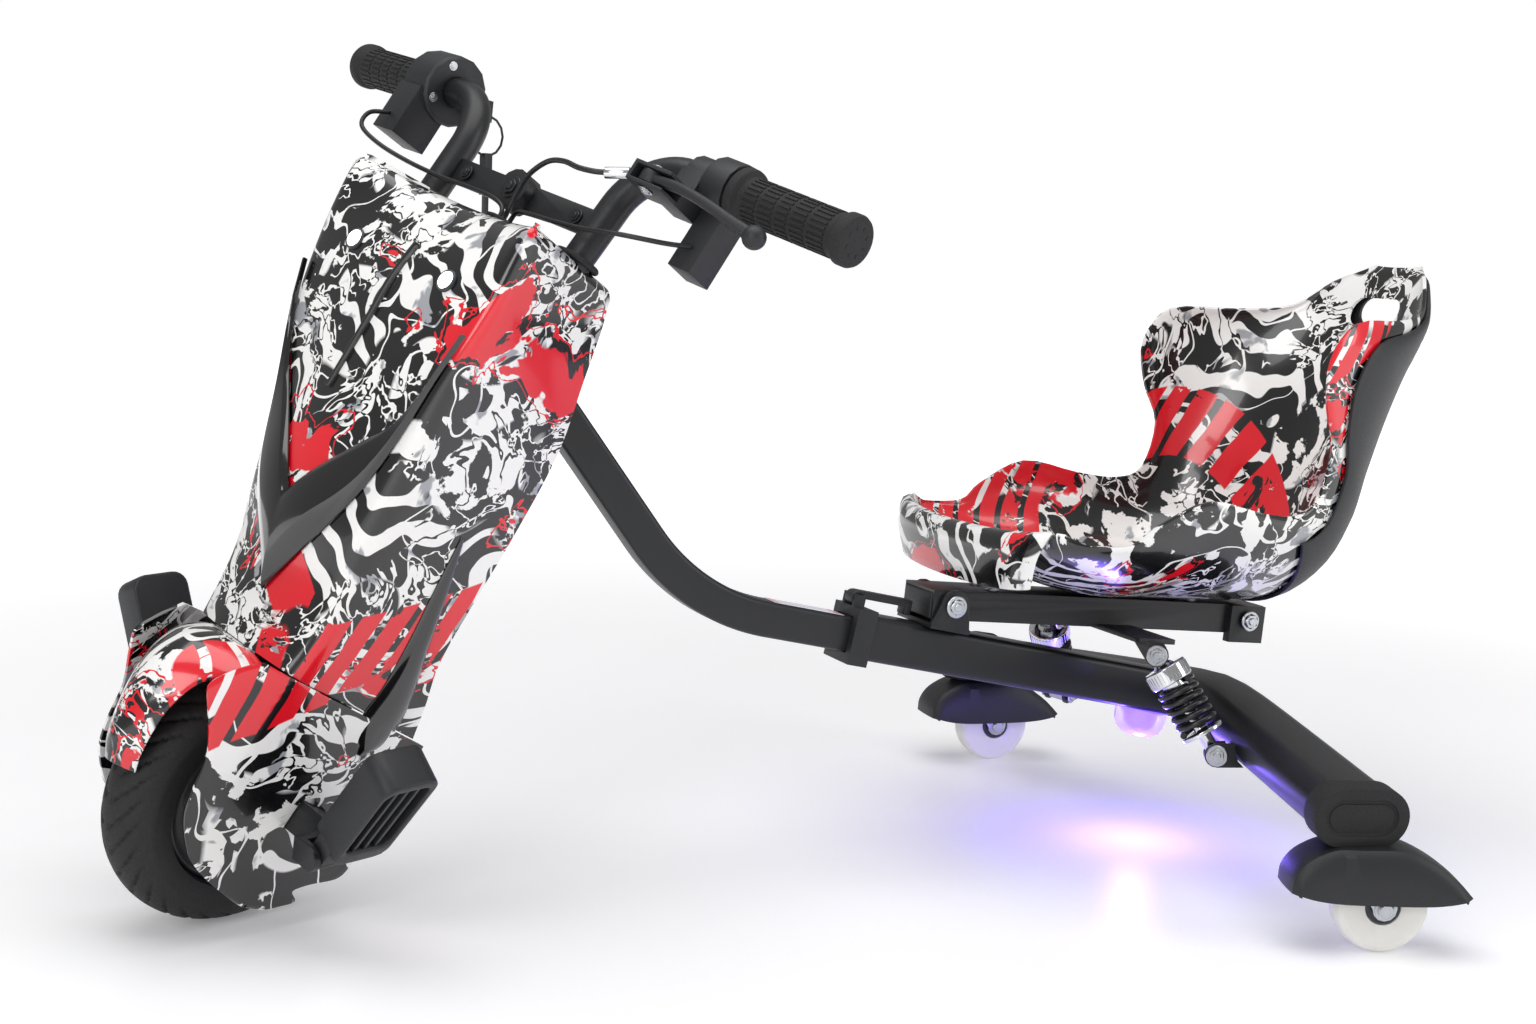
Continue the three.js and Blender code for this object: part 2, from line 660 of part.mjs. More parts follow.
// Side view of a caster fender, from its front tip over the flat top to its tail.
const FENDER_PROFILE_SHARES = [
  [0.36, 0.56], [0.335, 0.72], [0.26, 0.88], [0.14, 1], [-0.24, 1], [-0.37, 0.93], [-0.49, 0.81], [-0.58, 0.66],
  [-0.635, 0.5]];

function casterFender(name, group) {
  const bow = (lower, narrower) => FENDER_PROFILE_SHARES.map(([x, z]) =>
    [x * (FENDER_LENGTH - narrower * 2), z * FENDER_TOP - lower]);
  const outer = wallXZ(bow(0, 0), FENDER_HALF_WIDTH * 2, 0);
  const hollow = [...bow(FENDER_WALL, FENDER_WALL), [-FENDER_LENGTH, 0], [FENDER_LENGTH, 0]];
  const inner = wallXZ(hollow, (FENDER_HALF_WIDTH - FENDER_WALL) * 2, 0);
  const stem = rodZ(STEM_RADIUS + RUN, FENDER_TOP, [0, 0, FENDER_TOP]);
  piece(`caster_fender_${name}`, cut(outer, inner, stem), PLASTIC, group);
}

function casterWheel() {
  const half = CASTER_WIDTH / 2;
  const bore = CASTER_AXLE_RADIUS + RUN;
  const outline = [
    [bore, -half], [CASTER_RADIUS - CASTER_CROWN * 2, -half], [CASTER_RADIUS - CASTER_CROWN / 2, -half + CASTER_CROWN],
    [CASTER_RADIUS, 0], [CASTER_RADIUS - CASTER_CROWN / 2, half - CASTER_CROWN],
    [CASTER_RADIUS - CASTER_CROWN * 2, half], [bore, half]];
  return turned(outline, FINE);
}

// Seat pivot on the beam, and the channel that carries the seat.
const EAR_Y = RAIL_HALF + RUN + PIVOT_EAR_THICK / 2;

function seatPivotBracket() {
  const turn = BEAM_SLOPE;
  const dx = PIVOT_X - BEAM_FRONT_X;
  const dz = PIVOT_Z - BEAM_FRONT_Z;
  const x = dx * Math.cos(turn) + dz * Math.sin(turn);
  const z = dz * Math.cos(turn) - dx * Math.sin(turn);
  const bottom = BEAM_SIDE / 2 + GAP;
  const ears = SIDES.map(([, side]) => wallXZ([
    [x - PIVOT_BASE_HALF, bottom], [x + PIVOT_BASE_HALF, bottom],
    ...arc(x, z, PIVOT_EAR_RADIUS, 0, Math.PI, 8)], PIVOT_EAR_THICK, side * EAR_Y));
  const base = span([x - PIVOT_BASE_HALF, x + PIVOT_BASE_HALF],
    [-EAR_Y - PIVOT_EAR_THICK / 2, EAR_Y + PIVOT_EAR_THICK / 2], [bottom, bottom + PIVOT_EAR_THICK]);
  const reach = EAR_Y * 2 + PIVOT_EAR_THICK + PIVOT_NUT_THICK * 2;
  const pin = rodY(PIVOT_PIN_RADIUS, reach, [x, 0, z]);
  const nuts = SIDES.map(([, side]) => rodY(PIVOT_NUT_RADIUS, PIVOT_NUT_THICK,
    [x, side * (reach - PIVOT_NUT_THICK) / 2, z], 6));
  piece('seat_pivot_bracket', join(base, ...ears, pin, ...nuts), FRAME_BLACK, beam);
}

// Spring legs lean inwards. Each leg's z axis runs from its bottom bolt to its top bolt, and its
// y axis is the bolts' axis, square to the leg and to the way the seat's hinge moves its top.
const LEG_LENGTH = Math.hypot(LEG_TOP_X - LEG_FOOT_X, LEG_TOP_Y - LEG_FOOT_Y, LEG_TOP_Z - LEG_FOOT_Z);
const KNURL_TOP = LEG_LENGTH - KNURL_FROM_TOP;
const LEG_EAR_Y = LEG_EYE_HALF + LEG_SIDE_PLAY + LEG_EAR_THICK / 2;
const LEG_PIN_LENGTH = (LEG_EYE_HALF + LEG_SIDE_PLAY + LEG_EAR_THICK + PIVOT_NUT_THICK) * 2;

function legGroup(side) {
  const foot = new THREE.Vector3(LEG_FOOT_X, side * LEG_FOOT_Y, LEG_FOOT_Z);
  const top = new THREE.Vector3(LEG_TOP_X, side * LEG_TOP_Y, LEG_TOP_Z);
  const up = top.sub(foot).normalize();
  const travel = new THREE.Vector3(LEG_TOP_Z - PIVOT_Z, 0, PIVOT_X - LEG_TOP_X);
  const bolt = travel.cross(up).normalize();
  const leg = new THREE.Group();
  leg.name = `leg_${side > 0 ? 'left' : 'right'}`;
  leg.position.copy(foot);
  leg.quaternion.setFromRotationMatrix(new THREE.Matrix4().makeBasis(bolt.clone().cross(up), bolt, up));
  trike.add(leg);
  leg.updateMatrixWorld(true);
  return leg;
}

// Where the top bolts lie, seen from the seat channel.
const legTop = new THREE.Vector3(LEG_TOP_X - PIVOT_X, 0, LEG_TOP_Z - PIVOT_Z)
  .applyAxisAngle(new THREE.Vector3(0, 1, 0), SEAT_SLOPE);

function legClevis(leg, roof) {
  const ears = SIDES.map(([, way]) => join(
    rodY(LEG_EAR_RADIUS, LEG_EAR_THICK, [0, way * LEG_EAR_Y, LEG_LENGTH]),
    span([-LEG_EAR_RADIUS, LEG_EAR_RADIUS],
      [way * LEG_EAR_Y - LEG_EAR_THICK / 2, way * LEG_EAR_Y + LEG_EAR_THICK / 2],
      [LEG_LENGTH, LEG_LENGTH + RAIL_HEIGHT])));
  const pin = rodY(LEG_PIN_RADIUS, LEG_PIN_LENGTH, [0, 0, LEG_LENGTH]);
  const above = span([-RAIL_BACK, RAIL_BACK], [-RAIL_BACK, RAIL_BACK], [roof, RAIL_BACK]);
  return cut(into(rail, join(...ears, pin), leg), above);
}

function seatFrame(legs) {
  const half = RAIL_HEIGHT / 2;
  const channel = cut(
    span([-RAIL_BACK, RAIL_FRONT], [-RAIL_HALF, RAIL_HALF], [-half, half]),
    span([-RAIL_BACK - OVERRUN, RAIL_FRONT + OVERRUN], [-RAIL_HALF + RAIL_WALL, RAIL_HALF - RAIL_WALL],
      [-half - OVERRUN, half - RAIL_WALL]),
    rodY(PIVOT_PIN_RADIUS + RUN, RAIL_HALF * 3, [0, 0, 0]));
  const flange = PIVOT_EAR_THICK;
  const bracket = SIDES.map(([, side]) => span(
    [-REAR_BOLT - REAR_BRACKET_HALF, -REAR_BOLT + REAR_BRACKET_HALF],
    [side * (RAIL_HALF + flange / 2) - flange, side * (RAIL_HALF + flange / 2) + flange],
    [-REAR_BRACKET_DROP, half]));
  const bolt = rodY(PIVOT_NUT_RADIUS, (RAIL_HALF + flange * 2 + PIVOT_NUT_THICK) * 2, [-REAR_BOLT, 0, 0], 6);
  const low = legTop.z + LEG_EYE_RADIUS + RUN * 2;
  const bridge = span([legTop.x - BRIDGE_HALF + LEG_EAR_THICK, legTop.x + BRIDGE_HALF + LEG_EAR_THICK],
    [-LEG_TOP_Y - LEG_EAR_THICK, LEG_TOP_Y + LEG_EAR_THICK], [low, low + BRIDGE_THICK]);
  const clevises = legs.map((leg) => legClevis(leg, low + BRIDGE_THICK / 2));
  piece('seat_frame', join(channel, ...bracket, bolt, bridge, ...clevises), FRAME_BLACK, rail);
}

function springLeg(name, side, leg) {
  const eye = (z, radius, bore) => cut(rodY(radius, LEG_EYE_HALF * 2, [0, 0, z]),
    rodY(bore, LEG_EYE_HALF * 2 + OVERRUN, [0, 0, z]));
  const lower = join(
    eye(0, LEG_EYE_RADIUS, LEG_PIN_RADIUS + RUN),
    rodZ(ROD_RADIUS, ROD_REACH - LEG_EYE_RADIUS + RUN, [0, 0, (ROD_REACH + LEG_EYE_RADIUS - RUN) / 2]),
    rodZ(SPRING_SEAT_RADIUS, SPRING_SEAT_THICK, [0, 0, SPRING_SEAT_Z + SPRING_SEAT_THICK / 2]));
  piece(`shock_rod_${name}`, lower, ZINC, leg);
  const hollow = rodZ(ROD_RADIUS + RUN, (ROD_REACH + LEG_EYE_RADIUS - BARREL_START) * 2, [0, 0, BARREL_START]);
  const barrel = rodZ(BARREL_RADIUS, KNURL_TOP - BARREL_START, [0, 0, (KNURL_TOP + BARREL_START) / 2]);
  const knurl = rodZ(SPRING_SEAT_RADIUS, KNURL_THICK, [0, 0, KNURL_TOP - KNURL_THICK / 2]);
  const neck = rodZ(LEG_EYE_HALF - RUN, KNURL_FROM_TOP + RUN, [0, 0, LEG_LENGTH - (KNURL_FROM_TOP + RUN) / 2]);
  const topEye = rodY(LEG_EYE_RADIUS, LEG_EYE_HALF * 2, [0, 0, LEG_LENGTH]);
  const pinHole = rodY(LEG_PIN_RADIUS + LEG_OPEN_PIVOT, LEG_EYE_RADIUS * 3, [0, 0, LEG_LENGTH]);
  piece(`shock_body_${name}`, cut(join(barrel, knurl, neck, topEye), hollow, pinHole), ZINC, leg);
  piece(`shock_spring_${name}`, coil(), GLOSS, leg);
  shockFoot(name, side, leg);
}

// One unbroken wire: a straight run up from the lower seat, the turns, and a straight run out.
function coil() {
  const bottom = SPRING_SEAT_Z + SPRING_SEAT_THICK + GAP;
  const top = KNURL_TOP - KNURL_THICK - GAP;
  const lead = SPRING_WIRE * 2;
  const count = SPRING_TURNS * SPRING_STEPS;
  const centre = [new THREE.Vector3(SPRING_RADIUS, 0, bottom)];
  for (let i = 0; i <= count; i += 1) {
    const angle = 2 * Math.PI * i / SPRING_STEPS;
    const z = bottom + lead + (top - bottom - lead * 2) * i / count;
    centre.push(new THREE.Vector3(SPRING_RADIUS * Math.cos(angle), SPRING_RADIUS * Math.sin(angle), z));
  }
  const end = centre[centre.length - 1];
  centre.push(new THREE.Vector3(end.x, end.y, top));
  const rings = centre.map((point, i) => {
    const before = centre[Math.max(i - 1, 0)];
    const after = centre[Math.min(i + 1, centre.length - 1)];
    const along = after.clone().sub(before).normalize();
    const out = new THREE.Vector3(point.x, point.y, 0).normalize();
    const first = out.addScaledVector(along, -out.dot(along)).normalize();
    const second = along.clone().cross(first);
    return circle(SPRING_WIRE, SPRING_SIDES).map(([a, b]) =>
      point.clone().addScaledVector(first, a).addScaledVector(second, b).toArray());
  });
  coilGap(centre, rings);
  return loft(rings);
}

function coilGap(centre, rings) {
  let least = Infinity;
  for (let i = 0; i < centre.length; i += 1) {
    for (let j = i + SPRING_STEPS / 2; j < centre.length; j += 1) {
      for (const a of rings[i]) {
        for (const b of rings[j]) {
          least = Math.min(least, new THREE.Vector3(...a).distanceTo(new THREE.Vector3(...b)));
        }
      }
    }
  }
  console.log(`spring: least gap from the wire to itself ${least.toFixed(2)} mm`);
}

// Two ears on the cross tube's front face, with the bottom bolt through them.
function shockFoot(name, side, leg) {
  const across = new THREE.Vector3().setFromMatrixColumn(leg.matrixWorld, 0);
  const up = new THREE.Vector3().setFromMatrixColumn(leg.matrixWorld, 2);
  const arm = span([0, LEG_EAR_RADIUS + BRIDGE_HALF], [-LEG_EAR_THICK / 2, LEG_EAR_THICK / 2],
    [-LEG_EAR_RADIUS, LEG_EAR_RADIUS]);
  const turn = Math.atan2(up.x, -across.x);
  const ears = SIDES.map(([, way]) => join(
    rodY(LEG_EAR_RADIUS, LEG_EAR_THICK, [0, way * LEG_EAR_Y, 0]),
    placed(arm, [0, way * LEG_EAR_Y, 0], [0, turn, 0])));
  const pin = rodY(LEG_PIN_RADIUS, LEG_PIN_LENGTH, [0, 0, 0]);
  const reach = [LEG_TOP_Y, LEG_FOOT_Y * 2 - LEG_TOP_Y].map((y) => side * y).sort((a, b) => a - b);
  const tube = into(leg, crossSolid(...reach, GAP));
  piece(`shock_foot_${name}`, cut(join(...ears, pin), tube), FRAME_BLACK, leg);
}

// Seat shell. Each station holds the outer surface's centre point and its rim point, as shares:
// centre x and z, then rim x, y and z, from the seat pivot.
const SEAT_STATION_SHARES = [
  [-0.02, 0.075, -0.05, 0.7, 0.096],
  [-0.008, 0.175, -0.05, 0.77, 0.196],
  [-0.022, 0.225, -0.075, 0.83, 0.254],
  [-0.063, 0.15, -0.117, 0.931, 0.225],
  [-0.15, 0.068, -0.198, 0.952, 0.225],
  [-0.259, 0.012, -0.239, 0.966, 0.275],
  [-0.367, -0.01, -0.335, 0.986, 0.343],
  [-0.476, -0.02, -0.448, 0.966, 0.307],
  [-0.607, -0.012, -0.53, 0.897, 0.293],
  [-0.69, 0.079, -0.58, 0.869, 0.329],
  [-0.735, 0.204, -0.605, 0.869, 0.471],
  [-0.77, 0.346, -0.58, 0.903, 0.596],
  [-0.805, 0.489, -0.577, 0.924, 0.732],
  [-0.834, 0.614, -0.633, 0.897, 0.836],
  [-0.864, 0.721, -0.757, 0.745, 0.843],
  [-0.89, 0.811, -0.85, 0.586, 0.864],
  [-0.915, 0.9, -0.9, 0.428, 0.946],
  [-0.94, 0.989, -0.945, 0.331, 1.007]];
const SEAT_COLUMNS = 10;

const seatRail = (x) => (RAIL_HEIGHT / 2 + GAP * 2) / Math.cos(SEAT_SLOPE) + x * Math.tan(SEAT_SLOPE);

function seatGrid() {
  return SEAT_STATION_SHARES.map(([cx, cz, rx, ry, rz]) => {
    const centreX = cx * SEAT_LENGTH;
    const centreZ = Math.max(cz * SEAT_HEIGHT, seatRail(centreX));
    const rimX = rx * SEAT_LENGTH;
    const rimZ = rz * SEAT_HEIGHT;
    return Array.from({ length: SEAT_COLUMNS + 1 }, (_, j) => {
      const across = 2 * j / SEAT_COLUMNS - 1;
      const lift = 1 - Math.cos(Math.abs(across) * Math.PI / 2);
      const y = Math.sin(across * Math.PI / 2) * ry * SEAT_HALF_WIDTH;
      return [centreX + (rimX - centreX) * lift, y, centreZ + (rimZ - centreZ) * lift];
    });
  });
}

function handleSlot() {
  const [cx, cz] = SEAT_STATION_SHARES.at(-3);
  const low = cz * SEAT_HEIGHT;
  const x = cx * SEAT_LENGTH;
  return span([x - SEAT_HALF_WIDTH, x + SEAT_HALF_WIDTH], [-HANDLE_HALF, HANDLE_HALF], [low, low + HANDLE_HEIGHT]);
}

function seatShell() {
  const outer = seatGrid();
  const inner = offsetGrid(outer, SEAT_WALL);
  piece('seat_shell', cut(shell(outer, inner), handleSlot()), PRINT, seat);
}

function seatBackShell() {
  const rows = seatGrid().slice(-10);
  const last = rows.length - 1;
  const middle = SEAT_COLUMNS / 2;
  const bulge = (i, j) => {
    const side = Math.abs(j - middle) / middle;
    const end = Math.min(1, i / 2, (last - i) / 2);
    return BACK_BULGE * Math.max(0, 1 - side ** 2) * end;
  };
  const inner = offsetGrid(rows, (i, j) => -(GAP * 3 + bulge(i, j)));
  const outer = offsetGrid(rows, (i, j) => -(GAP * 3 + BACK_WALL + bulge(i, j)));
  const trimmed = (grid) => grid.map((row) => row.slice(1, -1));
  piece('seat_back_shell', cut(shell(trimmed(outer), trimmed(inner)), handleSlot()), PLASTIC, seat);
}

function underLamp() {
  const x = (LAMP_X - BEAM_FRONT_X) / Math.cos(BEAM_SLOPE);
  const top = -BEAM_SIDE / 2 - GAP;
  const profile = [[0, top], [LAMP_RADIUS, top], [LAMP_RADIUS, top - LAMP_DEPTH * 0.4],
    [LAMP_RADIUS * 0.9, top - LAMP_DEPTH * 0.75], [LAMP_RADIUS * 0.6, top - LAMP_DEPTH * 0.95], [0, top - LAMP_DEPTH]];
  piece('under_lamp', placed(alongZ(turned(profile)), [x, 0, 0]), LAMP, beam);
}

// Front wheel
function frontWheel() {
  const centre = TYRE_RADIUS - TYRE_SECTION;
  const bead = RIM_RADIUS + GAP;
  const outer = arc(centre, 0, TYRE_SECTION, -105 * DEGREE, 105 * DEGREE, 10);
  const inner = arc(centre, 0, TYRE_SECTION - TYRE_WALL, 95 * DEGREE, -95 * DEGREE, 4);
  const outline = [...outer, [bead, RIM_HALF], [bead, RIM_HALF - TYRE_WALL], ...inner,
    [bead, -RIM_HALF + TYRE_WALL], [bead, -RIM_HALF]];
  piece('front_tyre', turned(outline, FINE), RUBBER, steering);
  const bore = AXLE_RADIUS + RUN;
  const half = [[bore, HUB_HALF], [HUB_RADIUS, HUB_HALF], [HUB_RADIUS + RIM_DISH, RIM_HALF],
    [RIM_RADIUS - RIM_DISH * 3, RIM_HALF - RIM_DISH], [RIM_RADIUS - RIM_DISH, RIM_HALF], [RIM_RADIUS, RIM_HALF]];
  const hub = [...half, ...half.map(([r, y]) => [r, -y]).reverse()];
  piece('hub_motor', turned(hub, FINE), PLASTIC, steering);
}

function frontAxle() {
  const nutY = BLADE_OUT + GAP + AXLE_NUT_THICK / 2;
  const pin = rodY(AXLE_RADIUS, (nutY + AXLE_NUT_THICK) * 2, [0, 0, 0]);
  const nuts = SIDES.map(([, side]) => rodY(AXLE_NUT_RADIUS, AXLE_NUT_THICK, [0, side * nutY, 0], 6));
  const plateY = -(HUB_HALF + BLADE_GAP) / 2 - BRAKE_PLATE_THICK / 2;
  const plate = rodY(BRAKE_PLATE_RADIUS, BRAKE_PLATE_THICK, [0, plateY, 0]);
  const anchor = span([BRAKE_ANCHOR_N - RIM_DISH, BRAKE_ANCHOR_N + RIM_DISH],
    [plateY - RIM_DISH * 2, plateY], [BRAKE_ANCHOR_S - RIM_DISH * 2, BRAKE_ANCHOR_S]);
  piece('front_axle', join(pin, ...nuts, plate, anchor), ZINC, steering);
}

function steeringFork() {
  const crown = span([-CROWN_HALF, CROWN_HALF], [-BLADE_OUT, BLADE_OUT], [CROWN_BOTTOM, CROWN_BOTTOM + CROWN_THICK]);
  const slotHalf = AXLE_RADIUS + GAP;
  const blades = SIDES.map(([, side]) => cut(
    wallXZ([[-BLADE_HALF, CROWN_BOTTOM + RUN], [BLADE_HALF, CROWN_BOTTOM + RUN],
      ...arc(0, 0, BLADE_HALF, 0, -Math.PI, 8)], BLADE_THICK, side * (BLADE_GAP + BLADE_THICK / 2)),
    rodY(slotHalf, BLADE_THICK * 2, [0, side * (BLADE_GAP + BLADE_THICK / 2), 0]),
    span([-slotHalf, slotHalf], [side * BLADE_GAP - BLADE_THICK * 2, side * BLADE_GAP + BLADE_THICK * 2],
      [-BLADE_HALF * 2, 0])));
  const crownTop = CROWN_BOTTOM + CROWN_THICK;
  const columnTop = HEAD_BOTTOM - GAP;
  const column = rodZ(COLUMN_RADIUS, columnTop - crownTop + RUN, [0, 0, (columnTop + crownTop - RUN) / 2]);
  const collar = rodZ(HEAD_RADIUS, COLLAR_THICK, [0, 0, columnTop - COLLAR_THICK / 2]);
  const stemBottom = HEAD_TOP + GAP;
  const stemTop = stemBottom + STEM_THICK;
  const steerer = rodZ(STEERER_RADIUS, stemTop - columnTop + COLLAR_THICK, [0, 0, (stemTop + columnTop - COLLAR_THICK) / 2]);
  const reach = BAR_RADIUS + STEM_CLAMP_WALL;
  const stem = span([-HEAD_RADIUS, BAR_FOOT_N], [-STEM_HALF, STEM_HALF], [stemBottom, stemTop]);
  const clamp = span([BAR_FOOT_N - reach, BAR_FOOT_N + reach], [-STEM_HALF, STEM_HALF], [BAR_FOOT_S - reach, stemTop]);
  const barHole = rodY(BAR_RADIUS + RUN, STEM_HALF * 4, [BAR_FOOT_N, 0, BAR_FOOT_S]);
  const tab = shieldSideY(TAB_HALF, crownTop - TAB_THICK) - WALL - RUN;
  const tabs = span([-TAB_HALF, TAB_HALF], [-tab, tab], [crownTop - TAB_THICK, crownTop]);
  const postTop = SHIELD_TOP - WALL - GAP;
  const post = rodZ(TAB_HALF, postTop - stemTop + RUN, [BAR_FOOT_N, 0, (postTop + stemTop - RUN) / 2]);
  const whole = join(crown, ...blades, column, collar, steerer, stem, clamp, tabs, post);
  piece('steering_fork', cut(whole, barHole), FRAME_BLACK, steering);
}

// Handlebar: one bent tube from grip to grip, through the stem clamp.
const barPoints = [
  [BAR_END_N, -BAR_END_Y, BAR_TOP_S], [BAR_TOP_N, -BAR_TOP_Y, BAR_TOP_S], [BAR_FOOT_N, -BAR_FOOT_Y, BAR_FOOT_S],
  [BAR_FOOT_N, BAR_FOOT_Y, BAR_FOOT_S], [BAR_TOP_N, BAR_TOP_Y, BAR_TOP_S], [BAR_END_N, BAR_END_Y, BAR_TOP_S]];

function handlebar() {
  const path = bentPath(barPoints, [BAR_TOP_BEND, BAR_FOOT_BEND, BAR_FOOT_BEND, BAR_TOP_BEND]);
  piece('handlebar', swept(path, circle(BAR_RADIUS, 10), 48), FRAME_BLACK, steering);
}

// A group whose y axis runs out along one end of the bar, from the rider's middle.
const barSlant = Math.atan2(BAR_TOP_N - BAR_END_N, BAR_END_Y - BAR_TOP_Y);

function barEnd(side) {
  const group = new THREE.Group();
  group.position.set(BAR_END_N, side * BAR_END_Y, BAR_TOP_S);
  group.rotation.set(0, 0, side * barSlant);
  steering.add(group);
  return group;
}

// A turned sleeve around the bar: radii against distance in from the bar's end.
function sleeve(stations, bore, side, sides = ROUND) {
  const outline = stations.map(([inward, radius]) => [radius, -side * inward]);
  const first = stations[0][0];
  const last = stations[stations.length - 1][0];
  return turned([...outline, [bore, -side * last], [bore, -side * first]], sides);
}

function grip(name, side) {
  const bore = BAR_RADIUS + RUN;
  const inner = sleeve([
    [-GAP, GRIP_CAP - RUN * 2], [RUN * 3, GRIP_CAP], [CAP_THICK, GRIP_CAP - RUN],
    [CAP_THICK + RUN * 2, GRIP_RADIUS], [GRIP_LENGTH - FLANGE_THICK * 1.5, GRIP_RADIUS],
    [GRIP_LENGTH - FLANGE_THICK, GRIP_FLANGE], [GRIP_LENGTH, GRIP_FLANGE]], bore, side);
  const endCap = rodY(GRIP_RADIUS, CAP_THICK / 2, [0, side * (CAP_THICK / 4 + GAP), 0]);
  piece(name, join(inner, endCap), RUBBER, side > 0 ? leftBar : rightBar);
}

const leftBar = barEnd(1);
const rightBar = barEnd(-1);
const SWITCH_IN = GRIP_LENGTH + RUN * 2;
const THROTTLE_IN = GRIP_LENGTH + RUN * 2;

// Switch box under the left grip: a ring on the bar with a box hanging from it.
function switchBox() {
  const ringPiece = sleeve([[SWITCH_IN, SWITCH_RING], [SWITCH_IN + SWITCH_WIDTH, SWITCH_RING]], BAR_RADIUS + RUN, 1);
  const y0 = -SWITCH_IN - SWITCH_WIDTH;
  const face = -SWITCH_DEPTH / 2 - SWITCH_BACK;
  const box = span([face, face + SWITCH_DEPTH], [y0, -SWITCH_IN], [-SWITCH_DROP, -SWITCH_RING + RUN * 3]);
  const well = span([face - SWITCH_DEPTH, face + RUN * 6], [y0 + SWITCH_WIDTH * 0.25, -SWITCH_IN - SWITCH_WIDTH * 0.25],
    [-SWITCH_DROP * 0.8, -SWITCH_DROP * 0.5]);
  piece('switch_box', cut(join(ringPiece, box), well), PLASTIC, leftBar);
  const half = SWITCH_WIDTH / 4 - RUN;
  const rise = SWITCH_DROP * 0.15 - RUN;
  const middle = -SWITCH_IN - SWITCH_WIDTH / 2;
  const button = span([face - RUN * 4, face + RUN * 3], [middle - half, middle + half],
    [-SWITCH_DROP * 0.65 - rise, -SWITCH_DROP * 0.65 + rise]);
  piece('horn_button', button, RUBBER, leftBar);
}

// Brake perch and its lever, seen from the bar's end: ahead of the bar, in from its end, below it.
const PERCH_IN = SWITCH_IN + SWITCH_WIDTH + GAP;

function brakePerch() {
  const ringPiece = sleeve([[PERCH_IN, PERCH_RING], [PERCH_IN + PERCH_WIDTH, PERCH_RING]], BAR_RADIUS + RUN, 1);
  const cheek = LEVER_HEIGHT / 2 + RUN;
  const wall = RUN * 5;
  const end = LEVER_PIVOT_IN + LEVER_HEIGHT * 1.5;
  const block = span([PERCH_RING, LEVER_PIVOT_AHEAD + LEVER_HEIGHT], [-end, -PERCH_IN],
    [-LEVER_PIVOT_BELOW - cheek - wall, -LEVER_PIVOT_BELOW + cheek + wall]);
  const web = span([0, LEVER_PIVOT_AHEAD - LEVER_HEIGHT * 2], [-PERCH_IN - PERCH_WIDTH, -PERCH_IN],
    [-LEVER_PIVOT_BELOW - cheek - wall, 0]);
  const slot = span([LEVER_PIVOT_AHEAD - LEVER_HEIGHT * 1.2, LEVER_PIVOT_AHEAD + LEVER_HEIGHT * 2],
    [-LEVER_PIVOT_IN - LEVER_HEIGHT * 1.2, 0], [-LEVER_PIVOT_BELOW - cheek, -LEVER_PIVOT_BELOW + cheek]);
  const pin = rodZ(KEY_SHAFT, (cheek + RUN) * 2, [LEVER_PIVOT_AHEAD, -LEVER_PIVOT_IN, -LEVER_PIVOT_BELOW]);
  const barHole = rodY(BAR_RADIUS + RUN, PERCH_WIDTH * 3, [0, -PERCH_IN, 0]);
  const ferrule = rodBetween([LEVER_PIVOT_AHEAD - RUN, -end + RUN, -LEVER_PIVOT_BELOW],
    [LEVER_PIVOT_AHEAD + PERCH_FERRULE / 2, -end - PERCH_FERRULE, -LEVER_PIVOT_BELOW - LEVER_HEIGHT], KEY_SHAFT + RUN);
  piece('brake_perch', cut(join(cut(join(ringPiece, block, web), slot), pin, ferrule), barHole), PLASTIC, leftBar);
}

function brakeLever() {
  const hub = rodZ(LEVER_HEIGHT - RUN, LEVER_HEIGHT, [LEVER_PIVOT_AHEAD, -LEVER_PIVOT_IN, -LEVER_PIVOT_BELOW]);
  const ballPlace = [LEVER_PIVOT_AHEAD - LEVER_SWEEP / 8, LEVER_REACH - LEVER_PIVOT_IN, -LEVER_PIVOT_BELOW - LEVER_DROP];
  const path = bentPath([
    [LEVER_PIVOT_AHEAD, -LEVER_PIVOT_IN, -LEVER_PIVOT_BELOW],
    [LEVER_PIVOT_AHEAD + LEVER_SWEEP / 2, LEVER_REACH / 3 - LEVER_PIVOT_IN, -LEVER_PIVOT_BELOW],
    ballPlace], [LEVER_REACH / 2]);
  const blade = swept(path, circle(LEVER_HEIGHT / 2, 8), 10);
  const ball = placed(new THREE.SphereGeometry(LEVER_BALL, COARSE, 6), ballPlace);
  const bore = rodZ(KEY_SHAFT + RUN, LEVER_HEIGHT * 3, [LEVER_PIVOT_AHEAD, -LEVER_PIVOT_IN, -LEVER_PIVOT_BELOW]);
  piece('brake_lever', cut(join(hub, blade, ball), bore), PLASTIC, leftBar);
}

// Throttle housing on the right, with the key lock facing the rider's middle.
const LOCK_N = -THROTTLE_RADIUS * 0.72;

